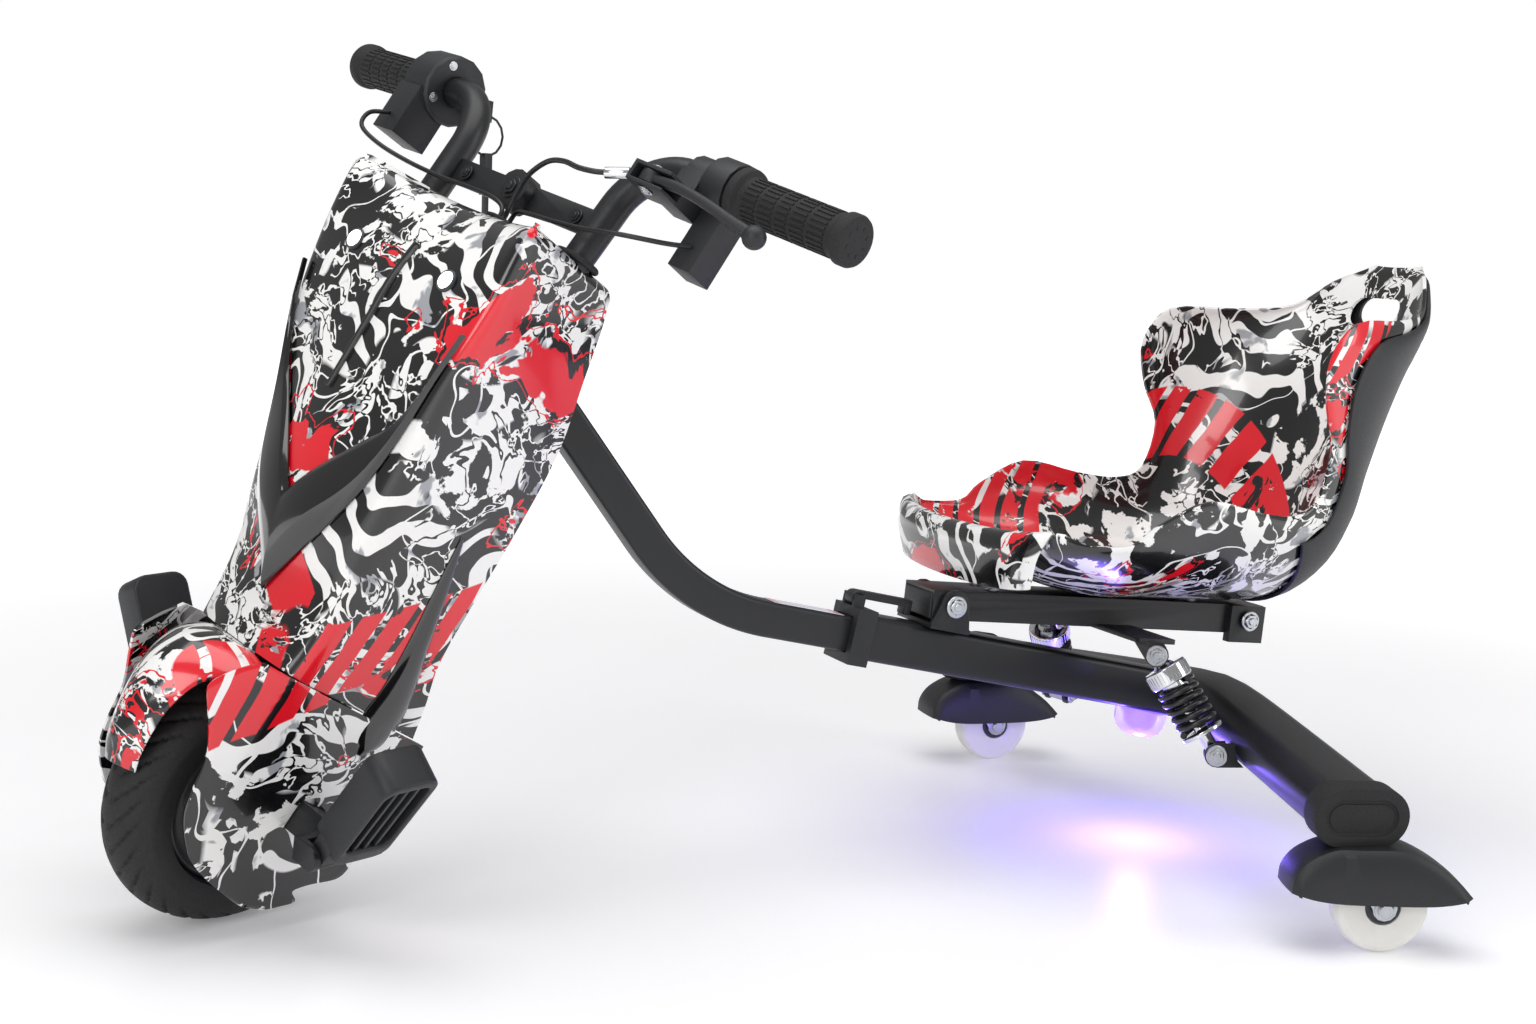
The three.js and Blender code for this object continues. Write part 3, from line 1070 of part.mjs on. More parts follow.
function throttleHousing() {
  const drum = sleeve([[THROTTLE_IN, THROTTLE_RADIUS - RUN * 4], [THROTTLE_IN + RUN * 4, THROTTLE_RADIUS],
    [THROTTLE_IN + THROTTLE_LENGTH - RUN * 4, THROTTLE_RADIUS], [THROTTLE_IN + THROTTLE_LENGTH, THROTTLE_RADIUS - RUN * 4]],
  BAR_RADIUS + RUN, -1);
  const y1 = THROTTLE_IN + THROTTLE_LENGTH * 0.85;
  const box = span([-SWITCH_DEPTH * 0.3, SWITCH_DEPTH], [THROTTLE_IN, y1], [-SWITCH_DROP * 0.85, -BAR_RADIUS - RUN * 2]);
  const hole = rodY(KEY_SHAFT + RUN, THROTTLE_LENGTH * 1.2, [LOCK_N, THROTTLE_IN + THROTTLE_LENGTH, 0]);
  piece('throttle_housing', cut(join(drum, box), hole), PLASTIC, rightBar);
}

const KEY_Y = THROTTLE_IN + THROTTLE_LENGTH + RUN;
const KEY_HEAD_HALF = 8;
const KEY_HEAD_LENGTH = 24;
const KEY_HEAD_THICK = 3.4;

// The ignition key's head stands upright, so that the ring through its eye hangs level.
const KEY_EYE_IN = KEY_Y + KEY_HEAD_LENGTH - KEY_SHAFT - RUN * 4;

function ignitionKey() {
  const blade = rodY(KEY_SHAFT, THROTTLE_LENGTH * 0.5, [0, KEY_Y - THROTTLE_LENGTH * 0.25 + RUN, 0], COARSE);
  const head = span([-KEY_HEAD_THICK / 2, KEY_HEAD_THICK / 2], [KEY_Y, KEY_Y + KEY_HEAD_LENGTH],
    [-KEY_HEAD_HALF, KEY_HEAD_HALF]);
  const eye = rodX(KEY_SHAFT, KEY_HEAD_THICK * 2, [0, KEY_EYE_IN, RUN * 4 - KEY_HEAD_HALF / 2], COARSE);
  const turn = placed(cut(join(blade, head), eye), [LOCK_N, 0, 0], [0, RAKE, 0]);
  piece('ignition_key', turn, PLASTIC, rightBar);
}

// The ring and the spare key hang straight down from the ignition key's eye.
function spareKey() {
  const eye = new THREE.Vector3(0, KEY_EYE_IN, RUN * 4 - KEY_HEAD_HALF / 2)
    .applyAxisAngle(new THREE.Vector3(0, 1, 0), RAKE);
  eye.x += LOCK_N;
  trike.updateMatrixWorld(true);
  rightBar.localToWorld(eye);
  const hang = new THREE.Group();
  hang.position.copy(eye);
  hang.rotation.set(0, 0, TURN - barSlant);
  trike.add(hang);
  const low = KEY_WIRE + GAP * 2 - KEY_SHAFT - KEY_RING;
  const ring = placed(new THREE.TorusGeometry(KEY_RING, KEY_WIRE, 5, ROUND), [0, 0, low], [Math.PI / 2, 0, 0]);
  const top = low - KEY_RING + RUN * 4;
  const head = span([-KEY_HEAD_THICK, KEY_HEAD_THICK], [-KEY_HEAD_THICK, KEY_HEAD_THICK],
    [top - KEY_HEAD_LENGTH * 1.3, top]);
  const tip = span([-KEY_WIRE, KEY_WIRE], [-KEY_SHAFT, KEY_SHAFT],
    [top - KEY_HEAD_LENGTH * 2.1, top - KEY_HEAD_LENGTH * 1.2]);
  piece('spare_key', join(ring, head, tip), PLASTIC, hang);
}

// Flat brace between the bar's two uprights, with the cable post at its middle.
function handlebarBrace() {
  const share = (BRACE_S - BAR_FOOT_S) / (BAR_TOP_S - BAR_FOOT_S);
  const n = BAR_FOOT_N + (BAR_TOP_N - BAR_FOOT_N) * share;
  const y = BAR_FOOT_Y + (BAR_TOP_Y - BAR_FOOT_Y) * share - BAR_RADIUS - RUN;
  const flat = span([n - BRACE_THICK / 2, n + BRACE_THICK / 2], [-y, y], [BRACE_S - BRACE_HEIGHT / 2, BRACE_S + BRACE_HEIGHT / 2]);
  const post = rodX(BRACE_KNOB, BRACE_THICK * 3, [n + BRACE_THICK, 0, BRACE_S]);
  piece('handlebar_brace', join(flat, post), FRAME_BLACK, steering);
}

// Shield. Each station is at a share of its height, with shares for the nose, the front corner's
// n and y, and the back edge's n and y.
const SHIELD_STATION_SHARES = [
  [0, 0.58, 0.49, 0.585, -0.44, 0.65],
  [0.07, 0.56, 0.5, 0.61, -0.36, 0.69],
  [0.165, 0.61, 0.535, 0.63, -0.25, 0.725],
  [0.315, 0.78, 0.63, 0.715, -0.19, 0.77],
  [0.47, 0.86, 0.74, 0.8, -0.155, 0.8],
  [0.665, 0.94, 0.905, 0.92, -0.065, 0.855],
  [0.825, 1, 0.975, 1, 0.1, 0.9],
  [0.93, 0.95, 1.03, 1, 0.22, 0.94],
  [1, 0.85, 1.05, 1, 0.3, 0.945]];
const FRONT_POINTS = 4;
const SIDE_POINTS = 2;

function shieldStation(s) {
  const share = (s - SHIELD_BOTTOM) / (SHIELD_TOP - SHIELD_BOTTOM);
  const last = SHIELD_STATION_SHARES.length - 1;
  let i = 0;
  while (i < last - 1 && SHIELD_STATION_SHARES[i + 1][0] < share) i += 1;
  const [low, high] = [SHIELD_STATION_SHARES[i], SHIELD_STATION_SHARES[i + 1]];
  const mix = (share - low[0]) / (high[0] - low[0]);
  const value = low.map((number, k) => number + (high[k] - number) * mix);
  return {
    nose: value[1] * SHIELD_REACH,
    corner: [value[2] * SHIELD_REACH, value[3] * SHIELD_HALF_WIDTH],
    back: [value[4] * SHIELD_REACH, value[5] * SHIELD_HALF_WIDTH],
  };
}

// The front surface's n at a height and a distance from the middle.
function shieldFront(s, y) {
  const { nose, corner } = shieldStation(s);
  return nose - (nose - corner[0]) * (y / corner[1]) ** 2;
}

// The side's distance from the middle at a height and a distance forward of the axis.
function shieldSideY(n, s) {
  const { corner, back } = shieldStation(s);
  return corner[1] + (back[1] - corner[1]) * (corner[0] - n) / (corner[0] - back[0]);
}

// Half of one section, from the middle of the front to the back edge.
function shieldHalf(s) {
  const { corner, back } = shieldStation(s);
  const front = Array.from({ length: FRONT_POINTS }, (_, i) => {
    const y = i / FRONT_POINTS * (corner[1] - SHIELD_CORNER / 2);
    return [shieldFront(s, y), y];
  });
  const edge = [shieldFront(s, corner[1] - SHIELD_CORNER), corner[1] - SHIELD_CORNER];
  const away = new THREE.Vector2(back[0] - corner[0], back[1] - corner[1]).setLength(SHIELD_CORNER);
  const bend = new THREE.QuadraticBezierCurve(
    new THREE.Vector2(...edge), new THREE.Vector2(...corner),
    new THREE.Vector2(corner[0] + away.x, corner[1] + away.y));
  const kept = front.filter(([, y]) => y < edge[1] - SHIELD_CORNER / 4);
  const side = Array.from({ length: SIDE_POINTS }, (_, i) => {
    const mix = (i + 1) / SIDE_POINTS;
    const start = [corner[0] + away.x, corner[1] + away.y];
    return [start[0] + (back[0] - start[0]) * mix, start[1] + (back[1] - start[1]) * mix];
  });
  return [...kept, ...bend.getPoints(2).map((point) => [point.x, point.y]), ...side];
}

function shieldRow(s) {
  const half = shieldHalf(s);
  const mirrored = half.slice(1).reverse().map(([n, y]) => [n, -y, s]);
  return [...mirrored, ...half.map(([n, y]) => [n, y, s])];
}

function frontShield() {
  const heights = SHIELD_STATION_SHARES.map(([share]) => SHIELD_BOTTOM + share * (SHIELD_TOP - SHIELD_BOTTOM));
  const outer = heights.map(shieldRow);
  const sheet = shell(outer, offsetGrid(outer, -WALL));
  const roofOutline = shieldRow(SHIELD_TOP).map(([n, y]) => [n, y]);
  const roof = placed(slab(roofOutline, WALL), [0, 0, SHIELD_TOP - WALL / 2]);
  const share = (SHIELD_TOP - BAR_FOOT_S) / (BAR_TOP_S - BAR_FOOT_S);
  const holes = SIDES.map(([, side]) => rodZ(BAR_RADIUS + RUN * 3, WALL * 4,
    [BAR_FOOT_N + (BAR_TOP_N - BAR_FOOT_N) * share, side * (BAR_FOOT_Y + (BAR_TOP_Y - BAR_FOOT_Y) * share), SHIELD_TOP]));
  holes.push(rodZ(CORD_HOLE_RADIUS, WALL * 4, [CORD_HOLE_N, CORD_HOLE_Y, SHIELD_TOP]));
  const lamps = SIDES.map(([, side]) => rodX(HEADLIGHT_RADIUS + GAP, HEADLIGHT_LENGTH * 3,
    [shieldFront(HEADLIGHT_S, HEADLIGHT_Y), side * HEADLIGHT_Y, HEADLIGHT_S]));
  piece('front_shield', cut(join(sheet, roof), ...holes, ...lamps), PRINT, steering);
  for (const [name, side] of SIDES) {
    const n = shieldFront(HEADLIGHT_S, HEADLIGHT_Y) - HEADLIGHT_LENGTH / 2 + RUN * 4;
    piece(`headlight_${name}`, rodX(HEADLIGHT_RADIUS, HEADLIGHT_LENGTH, [n, side * HEADLIGHT_Y, HEADLIGHT_S]), LAMP, steering);
  }
}

// V-shaped trim on the shield's front: two arms that widen down to a common tip.
const TRIM_STEPS = 10;
const TRIM_ROWS = 4;

function visorTrim() {
  const lift = (base) => Array.from({ length: TRIM_STEPS * 2 + 1 }, (_, i) => {
    const t = i / TRIM_STEPS - 1;
    const away = Math.abs(t);
    const outerS = TRIM_TIP + TRIM_RUN * away + (TRIM_TOP - TRIM_TIP - TRIM_RUN) * away ** 8;
    const innerS = TRIM_THROAT + TRIM_RUN * away + (TRIM_TOP - TRIM_THROAT - TRIM_RUN) * away ** 12 + GAP * 10;
    return Array.from({ length: TRIM_ROWS + 1 }, (_, j) => {
      const mix = j / TRIM_ROWS;
      const s = outerS + (innerS - outerS) * mix;
      const y = t * (shieldStation(s).corner[1] - SHIELD_CORNER * 0.8);
      const crown = base ? 0 : TRIM_RISE * Math.sin(Math.PI * (0.12 + mix * 0.76)) * (1 - away * 0.6) + RUN;
      return [shieldFront(s, y) + RUN * 4 + crown, y, s];
    });
  });
  piece('visor_trim', shell(lift(false), lift(true)), GLOSS, steering);
}

// Fender over the front tyre: it leaves the shield's bottom edge and ends ahead of the tyre.
// Shares of the reach for n and s of the middle line, and of the shield's bottom width.
const FENDER_STATION_SHARES = [
  [0.555, 0.745, 0.84], [0.66, 0.715, 0.8], [0.78, 0.635, 0.7], [0.87, 0.5, 0.61], [0.905, 0.33, 0.54],
  [0.895, 0.15, 0.48], [0.86, 0, 0.43], [0.81, -0.1, 0.38]];

function frontFender() {
  const bottom = shieldStation(SHIELD_BOTTOM);
  const rows = FENDER_STATION_SHARES.map(([shareN, shareS, shareY]) => {
    const n = shareN * FENDER_REACH;
    const s = shareS * FENDER_REACH;
    const inward = new THREE.Vector2(-n, -s).normalize();
    return Array.from({ length: 9 }, (_, j) => {
      const across = j / 4 - 1;
      const drop = FRONT_FENDER_DROP * across ** 2;
      return [n + inward.x * drop, across * shareY * bottom.corner[1], s + inward.y * drop];
    });
  });
  const sheet = shell(rows, offsetGrid(rows, WALL));
  const clear = span([-SHIELD_REACH, SHIELD_REACH], [-SHIELD_REACH, SHIELD_REACH],
    [SHIELD_BOTTOM - GAP, SHIELD_BOTTOM + SHIELD_REACH]);
  piece('front_fender', cut(sheet, clear), PRINT, steering);
}

// Wheel covers on both sides of the wheel, with a window for the foot peg's arm.
const COVER_OUTLINE_SHARES = [
  [0.62, 0.7], [0.61, 0], [0.54, -0.21], [0.19, -0.44], [-0.19, -0.38], [-0.59, -0.09], [-0.5, 0.7]];

function wheelCovers() {
  const outline = COVER_OUTLINE_SHARES.map(([n, s]) => [n * FENDER_REACH, s * FENDER_REACH]);
  const arm = PEG_ARM_HALF + GAP;
  for (const [name, side] of SIDES) {
    const panel = wallXZ(outline, WALL, side * (COVER_Y + WALL / 2));
    const window = span([PEG_ARM_N - arm, PEG_ARM_N + arm], [side * COVER_Y - WALL * 2, side * COVER_Y + WALL * 2],
      [PEG_ARM_S - arm, PEG_ARM_S + arm]);
    const lampHole = rodY(SIDE_LAMP_RADIUS + RUN, WALL * 4, [SIDE_LAMP_N, side * COVER_Y, PEG_ARM_S]);
    piece(`wheel_cover_${name}`, cut(panel, window, lampHole), PRINT, steering);
    const lamp = rodY(SIDE_LAMP_RADIUS, WALL * 3, [SIDE_LAMP_N, side * (COVER_Y + WALL), PEG_ARM_S], COARSE);
    piece(`side_lamp_${name}`, lamp, LAMP, steering);
  }
}

const SIDE_LAMP_N = PEG_ARM_N - PEG_ARM_HALF - SIDE_LAMP_RADIUS * 2.2;

// Foot pegs fold up about a level hinge along the trike.
function footPegs() {
  for (const [name, side] of SIDES) {
    const outEnd = PEG_HINGE_Y - PEG_EAR_RADIUS - RUN;
    const arm = span([PEG_ARM_N - PEG_ARM_HALF, PEG_ARM_N + PEG_ARM_HALF],
      [side * (BLADE_OUT + GAP), side * outEnd].sort((a, b) => a - b),
      [PEG_ARM_S - PEG_ARM_HALF, PEG_ARM_S + PEG_ARM_HALF]);
    const hinge = new THREE.Group();
    hinge.position.set(PEG_ARM_N, side * PEG_HINGE_Y, PEG_ARM_S);
    hinge.rotation.set(0, RAKE, 0);
    steering.add(hinge);
    hinge.updateMatrix();
    const earX = PEG_WIDTH / 2 + RUN + PEG_EAR_THICK / 2;
    const ears = SIDES.map(([, way]) => join(
      rodX(PEG_EAR_RADIUS, PEG_EAR_THICK, [way * earX, 0, 0]),
      span([way * earX - PEG_EAR_THICK / 2, way * earX + PEG_EAR_THICK / 2],
        [-side * (PEG_EAR_RADIUS * 2 + RUN), 0].sort((a, b) => a - b), [-PEG_EAR_RADIUS, PEG_EAR_RADIUS])));
    const back = span([-earX, earX],
      [-side * (PEG_EAR_RADIUS * 2 + RUN), -side * (PEG_EAR_RADIUS + RUN * 2)].sort((a, b) => a - b),
      [-PEG_EAR_RADIUS, PEG_EAR_RADIUS]);
    const pin = rodX(PEG_HINGE_RADIUS, earX * 2, [0, 0, 0]);
    const fixed = join(...ears, back, pin).applyMatrix4(hinge.matrix);
    const nut = rodY(AXLE_NUT_RADIUS + RUN, COVER_Y * 2, [0, 0, 0]);
    piece(`peg_bracket_${name}`, join(cut(arm, nut), fixed), FRAME_BLACK, steering);
    const pad = cut(
      join(span([-PEG_WIDTH / 2, PEG_WIDTH / 2], [-PEG_THICK / 2, PEG_THICK / 2], [PEG_EAR_RADIUS + RUN, PEG_LENGTH]),
        rodX(PEG_EAR_RADIUS - RUN, PEG_WIDTH, [0, 0, 0]),
        span([-PEG_WIDTH / 2, PEG_WIDTH / 2], [-PEG_EAR_RADIUS + RUN, PEG_EAR_RADIUS - RUN], [0, PEG_EAR_RADIUS * 2])),
      span([-PEG_WIDTH / 2 + PEG_WALL, PEG_WIDTH / 2 - PEG_WALL],
        [side * (PEG_WALL - PEG_THICK / 2), side * PEG_THICK].sort((a, b) => a - b),
        [PEG_EAR_RADIUS * 2 + PEG_WALL, PEG_LENGTH - PEG_WALL]),
      rodX(PEG_HINGE_RADIUS + RUN, PEG_WIDTH * 2, [0, 0, 0]));
    piece(`foot_peg_${name}`, placed(pad, [0, 0, 0], [-side * PEG_LEAN, 0, 0]), PLASTIC, hinge);
  }
}

function powerPack() {
  const back = COLUMN_RADIUS + GAP;
  const pack = span([back, back + PACK_DEPTH], [-PACK_HALF_WIDTH, PACK_HALF_WIDTH], [PACK_BOTTOM, PACK_TOP]);
  piece('battery_pack', pack, CASE, steering);
  const front = HEAD_RADIUS + RUN * 2;
  const box = span([front, front + CONTROLLER_DEPTH], [-CONTROLLER_HALF_WIDTH, CONTROLLER_HALF_WIDTH],
    [PACK_TOP + GAP, PACK_TOP + GAP + CONTROLLER_HEIGHT]);
  piece('motor_controller', box, ZINC, steering);
}

// Cords. Each runs from its fitting through the hole in the shield's roof to what it works.
const BRAKE_CORD = 1.9;
const LEAD_CORD = 1.7;
const BRAKE_ROUTE = [
  [107.6, 110.7, 487.6], [111.6, 104.3, 484.2], [114.5, 92, 482], [113, 74, 483], [105, 50, 481], [95, 28, 470], [88, 19, 455], [84.5, 17.5, 440], [85, 18, 425],
  [89, 18, 400], [96, 9, 372], [92, -8, 335], [70, -24, 290], [63, -32, 220], [59, -38, 160], [50, -42, 115],
  [41, -40, 75], [33.5, -38, 48], [32, -37.5, 37]];
const THROTTLE_ROUTE = [
  [83.5, -165, 480], [99, -164, 470], [108, -150, 456], [105, -125, 449], [96, -95, 447], [91, -60, 447],
  [90, -25, 448], [92, 5, 447], [92, 20, 442], [91.5, 22, 428], [92, 21.5, 402], [86, 20, 378], [64, 14, 360],
  [44.5, 6, 352]];
const SWITCH_ROUTE = [
  [62.3, 167.6, 474], [76, 160, 466], [92, 135, 456], [94, 105, 450], [94, 75, 447], [92, 48, 446], [88, 31, 445],
  [85, 25.5, 438], [85.5, 26, 425], [87, 28, 400], [83, 28, 378], [66, 27, 358], [44.5, 24, 344]];

function cord(name, route, radius, steps) {
  const path = new THREE.CatmullRomCurve3(route.map((point) => new THREE.Vector3(...point)));
  piece(name, swept(path, circle(radius, 8), steps), RUBBER, steering);
}

crossTube();
armEndCaps();
rearBeam();
mainTube();
headTube();
clampCollar();
clampLever();
caster('left', 1, SWIVEL_TURN_LEFT);
caster('right', -1, SWIVEL_TURN_RIGHT);
seatPivotBracket();
const legs = SIDES.map(([, side]) => legGroup(side));
seatFrame(legs);
SIDES.forEach(([name, side], i) => springLeg(name, side, legs[i]));
seatShell();
seatBackShell();
underLamp();
frontWheel();
frontAxle();
steeringFork();
handlebar();
grip('left_grip', 1);
grip('throttle_grip', -1);
switchBox();
brakePerch();
brakeLever();
throttleHousing();
ignitionKey();
spareKey();
handlebarBrace();
frontShield();
visorTrim();
frontFender();
wheelCovers();
footPegs();
powerPack();
cord('brake_cable', BRAKE_ROUTE, BRAKE_CORD, 50);
cord('throttle_lead', THROTTLE_ROUTE, LEAD_CORD, 44);
cord('switch_lead', SWITCH_ROUTE, LEAD_CORD, 26);

// The origin goes to the middle of the bounding box's bottom face.
const bounds = new THREE.Box3().setFromObject(trike, true);
const middle = bounds.getCenter(new THREE.Vector3());
trike.position.set(-middle.x, -middle.y, -bounds.min.z);
const part = new THREE.Group();
part.add(trike);

export default part;
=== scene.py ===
# Electric drift trike, finished for a studio picture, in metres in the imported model's frame.
import math

import bmesh
import bpy
from mathutils import Matrix, Vector


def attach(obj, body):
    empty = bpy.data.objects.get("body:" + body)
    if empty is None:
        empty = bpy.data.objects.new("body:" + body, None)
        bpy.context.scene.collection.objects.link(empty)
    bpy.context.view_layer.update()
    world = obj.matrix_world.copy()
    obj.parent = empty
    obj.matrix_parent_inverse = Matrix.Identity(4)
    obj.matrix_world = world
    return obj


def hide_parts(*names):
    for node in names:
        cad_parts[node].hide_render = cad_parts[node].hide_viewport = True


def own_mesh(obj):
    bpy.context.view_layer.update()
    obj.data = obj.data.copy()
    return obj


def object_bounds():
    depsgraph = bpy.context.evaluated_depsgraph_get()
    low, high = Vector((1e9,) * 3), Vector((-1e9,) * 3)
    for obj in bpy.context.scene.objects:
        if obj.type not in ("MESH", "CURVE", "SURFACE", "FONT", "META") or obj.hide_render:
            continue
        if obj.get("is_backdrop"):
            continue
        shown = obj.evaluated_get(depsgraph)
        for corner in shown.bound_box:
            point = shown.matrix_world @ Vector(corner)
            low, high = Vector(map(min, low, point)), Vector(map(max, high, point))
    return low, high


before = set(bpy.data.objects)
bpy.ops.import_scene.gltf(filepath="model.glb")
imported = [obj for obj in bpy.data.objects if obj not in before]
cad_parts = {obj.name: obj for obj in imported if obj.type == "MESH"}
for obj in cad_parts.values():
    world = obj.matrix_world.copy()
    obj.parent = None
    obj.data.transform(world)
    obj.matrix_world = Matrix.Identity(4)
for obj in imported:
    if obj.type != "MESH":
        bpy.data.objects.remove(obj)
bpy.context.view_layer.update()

# Camera at the photograph's angle, close to level, a little over a metre and a half away.
# Three soft lights and a bright room, and a pale floor with a weak shine.
def placed(name, data):
    thing = bpy.data.objects.new(name, data)
    bpy.context.scene.collection.objects.link(thing)
    return thing


yaw, pitch, roll = (math.radians(angle) for angle in (-23.367, 7.47, 2.23))
ahead = Vector((math.sin(yaw) * math.cos(pitch), -math.cos(yaw) * math.cos(pitch), -math.sin(pitch)))
level = ahead.cross(Vector((0, 0, 1))).normalized()
upright = level.cross(ahead)
camera_right = level * math.cos(roll) + upright * math.sin(roll)
camera_up = upright * math.cos(roll) - level * math.sin(roll)
camera_data = bpy.data.cameras.new("camera")
camera_data.sensor_width = 36
camera_data.lens = 49.43
camera_data.clip_start = 0.05
camera = placed("camera", camera_data)
camera.matrix_world = Matrix((
    (camera_right.x, camera_up.x, -ahead.x, 0.68499),
    (camera_right.y, camera_up.y, -ahead.y, 1.46456),
    (camera_right.z, camera_up.z, -ahead.z, 0.4979),
    (0, 0, 0, 1)))
bpy.context.scene.camera = camera


def linear(colour):
    parts = (int(colour[i:i + 2], 16) / 255 for i in (1, 3, 5))
    return (*(p / 12.92 if p <= 0.04045 else ((p + 0.055) / 1.055) ** 2.4 for p in parts), 1.0)


def add(tree, kind, sockets=None, **settings):
    node = tree.nodes.new(kind)
    for name, value in settings.items():
        setattr(node, name, value)
    for name, value in (sockets or {}).items():
        if isinstance(value, bpy.types.NodeSocket):
            tree.links.new(value, node.inputs[name])
        else:
            node.inputs[name].default_value = value
    return node


def soft_light(name, place, target, size, watts):
    data = bpy.data.lights.new(name, "AREA")
    data.shape = "RECTANGLE"
    data.size, data.size_y = size
    data.energy = watts
    light = placed(name, data)
    light.location = place
    light.rotation_euler = (Vector(target) - Vector(place)).to_track_quat("-Z", "Y").to_euler()


soft_light("overhead", (0.2, 0.3, 2.4), (0, 0, 0.2), (2.6, 2.0), 40)
soft_light("key", (2.3, 1.9, 1.5), (0.2, 0, 0.3), (1.2, 1.6), 25)
soft_light("fill", (-1.9, 1.7, 1.1), (-0.1, 0, 0.2), (0.9, 1.5), 14)
# The camera sees the room as white. The room lights the trike with a third of that, which keeps
# the blacks black.
room = bpy.data.worlds.new("room")
room.use_nodes = True
seen = add(room.node_tree, "ShaderNodeLightPath").outputs["Is Camera Ray"]
strength = add(room.node_tree, "ShaderNodeMapRange", {"Value": seen, "To Min": 0.36, "To Max": 1.0})
backdrop = room.node_tree.nodes["Background"]
backdrop.inputs["Color"].default_value = linear("#ffffff")
room.node_tree.links.new(strength.outputs[0], backdrop.inputs["Strength"])
bpy.context.scene.world = room
bpy.context.scene.view_settings.view_transform = "Standard"


def finish(name, slot, colour, roughness, metallic=0.0, ior=1.5, clear=0.0):
    """A material, its nodes and its place on the object. The slot, its part's material in the CAD, is not
    used.
    """
    material = bpy.data.materials.new(name)
    material.use_nodes = True
    tree = material.node_tree
    shader = tree.nodes["Principled BSDF"]
    shader.inputs["Base Color"].default_value = linear(colour)
    shader.inputs["Roughness"].default_value = roughness
    shader.inputs["Metallic"].default_value = metallic
    shader.inputs["IOR"].default_value = ior
    shader.inputs["Coat Weight"].default_value = clear
    shader.inputs["Coat Roughness"].default_value = 0.06
    return material, tree, shader, add(tree, "ShaderNodeTexCoord").outputs["Object"]


def grained(tree, shader, place, grain, depth, roughness, shades=None, patch=40.0):
    """Uneven gloss, a shallow bump and two shades in patches. Grain, depth and patch are in mm."""
    fine = add(tree, "ShaderNodeTexNoise", {"Vector": place, "Scale": 1000 / grain, "Detail": 3.0})
    spread = add(tree, "ShaderNodeMapRange",
                 {"Value": fine.outputs[0], "From Min": 0.3, "From Max": 0.7,
                  "To Min": roughness[0], "To Max": roughness[1]})
    tree.links.new(spread.outputs[0], shader.inputs["Roughness"])
    bump = add(tree, "ShaderNodeBump", {"Height": fine.outputs[0], "Distance": depth / 1000,
        "Strength": 0.6})
    tree.links.new(bump.outputs[0], shader.inputs["Normal"])
    if shades:
        broad = add(tree, "ShaderNodeTexNoise", {"Vector": place, "Scale": 1000 / patch, "Detail": 4.0})
        mixed = add(tree, "ShaderNodeMix",
                    {0: broad.outputs[0], 6: linear(shades[0]), 7: linear(shades[1])}, data_type="RGBA")
        tree.links.new(mixed.outputs[2], shader.inputs["Base Color"])


def coated(name, slot, colour, roughness, grain, depth, spread, shades=None, patch=40.0, **settings):
    material, tree, shader, place = finish(name, slot, colour, roughness, **settings)
    grained(tree, shader, place, grain, depth, spread, shades, patch)
    return material


def cut(tree, value, low, high):
    """0 below the low value and 1 above the high one."""
    return add(tree, "ShaderNodeMapRange", {"Value": value, "From Min": low, "From Max": high}).outputs[0]


def worked(tree, operation, *values, clamp=False):
    return add(tree, "ShaderNodeMath", dict(enumerate(values)), operation=operation,
        use_clamp=clamp).outputs[0]


# Painted floor: near white and satin. It gives off a little light, more of it farther away,
# so that it runs into the bright room.
floor_paint, tree, shader, place = finish("painted_floor", None, "#f6f6f7", 0.3)
grained(tree, shader, place, 6.0, 0.004, (0.34, 0.44), ("#f4f4f6", "#f9f9fa"), 400.0)
distance = add(tree, "ShaderNodeVectorMath", {0: place}, operation="LENGTH").outputs["Value"]
fade = add(tree, "ShaderNodeMapRange",
           {"Value": distance, "From Min": 0.5, "From Max": 3.2, "To Min": 0.16, "To Max": 0.95},
           interpolation_type="SMOOTHSTEP")
shader.inputs["Emission Color"].default_value = linear("#fcfcfd")
tree.links.new(fade.outputs[0], shader.inputs["Emission Strength"])
floor_mesh = bpy.data.meshes.new("floor")
floor_mesh.from_pydata([(-12, -12, 0), (12, -12, 0), (12, 12, 0), (-12, 12, 0)], [], [(0, 1, 2, 3)])
floor_mesh.materials.append(floor_paint)
floor = placed("floor", floor_mesh)
floor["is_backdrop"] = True


# Rear beam: a 36 mm square steel tube, welded onto the cross tube, powder coated satin black.
# The coat shows a faint orange peel of about half a millimetre.
def at(x, y, z):
    return Matrix.Translation((x, y, z))


def turn(axis, degrees):
    return Matrix.Rotation(math.radians(degrees), 4, axis)


def ring(radius, count, flat=0.0):
    points = []
    for i in range(count):
        angle = 2 * math.pi * (i + 0.5) / count
        push = flat if math.cos(angle) > 0 else -flat
        points.append((radius * math.cos(angle) + push, radius * math.sin(angle)))
    return points


def rounded_box(wide, high, corner, steps=4):
    points = []
    for i, (x, y) in enumerate(((1, 1), (-1, 1), (-1, -1), (1, -1))):
        for k in range(steps + 1):
            angle = math.pi / 2 * (i + k / steps)
            points.append((x * (wide - corner) + corner * math.cos(angle),
                           y * (high - corner) + corner * math.sin(angle)))
    return points


def walls(rings, count, closed=False):
    """Faces between rings of points. The last ring meets the first one again if closed."""
    faces = []
    for i in range(rings if closed else rings - 1):
        for j in range(count):
            k, n = (j + 1) % count, (i + 1) % rings
            faces.append((i * count + j, i * count + k, n * count + k, n * count + j))
    return faces


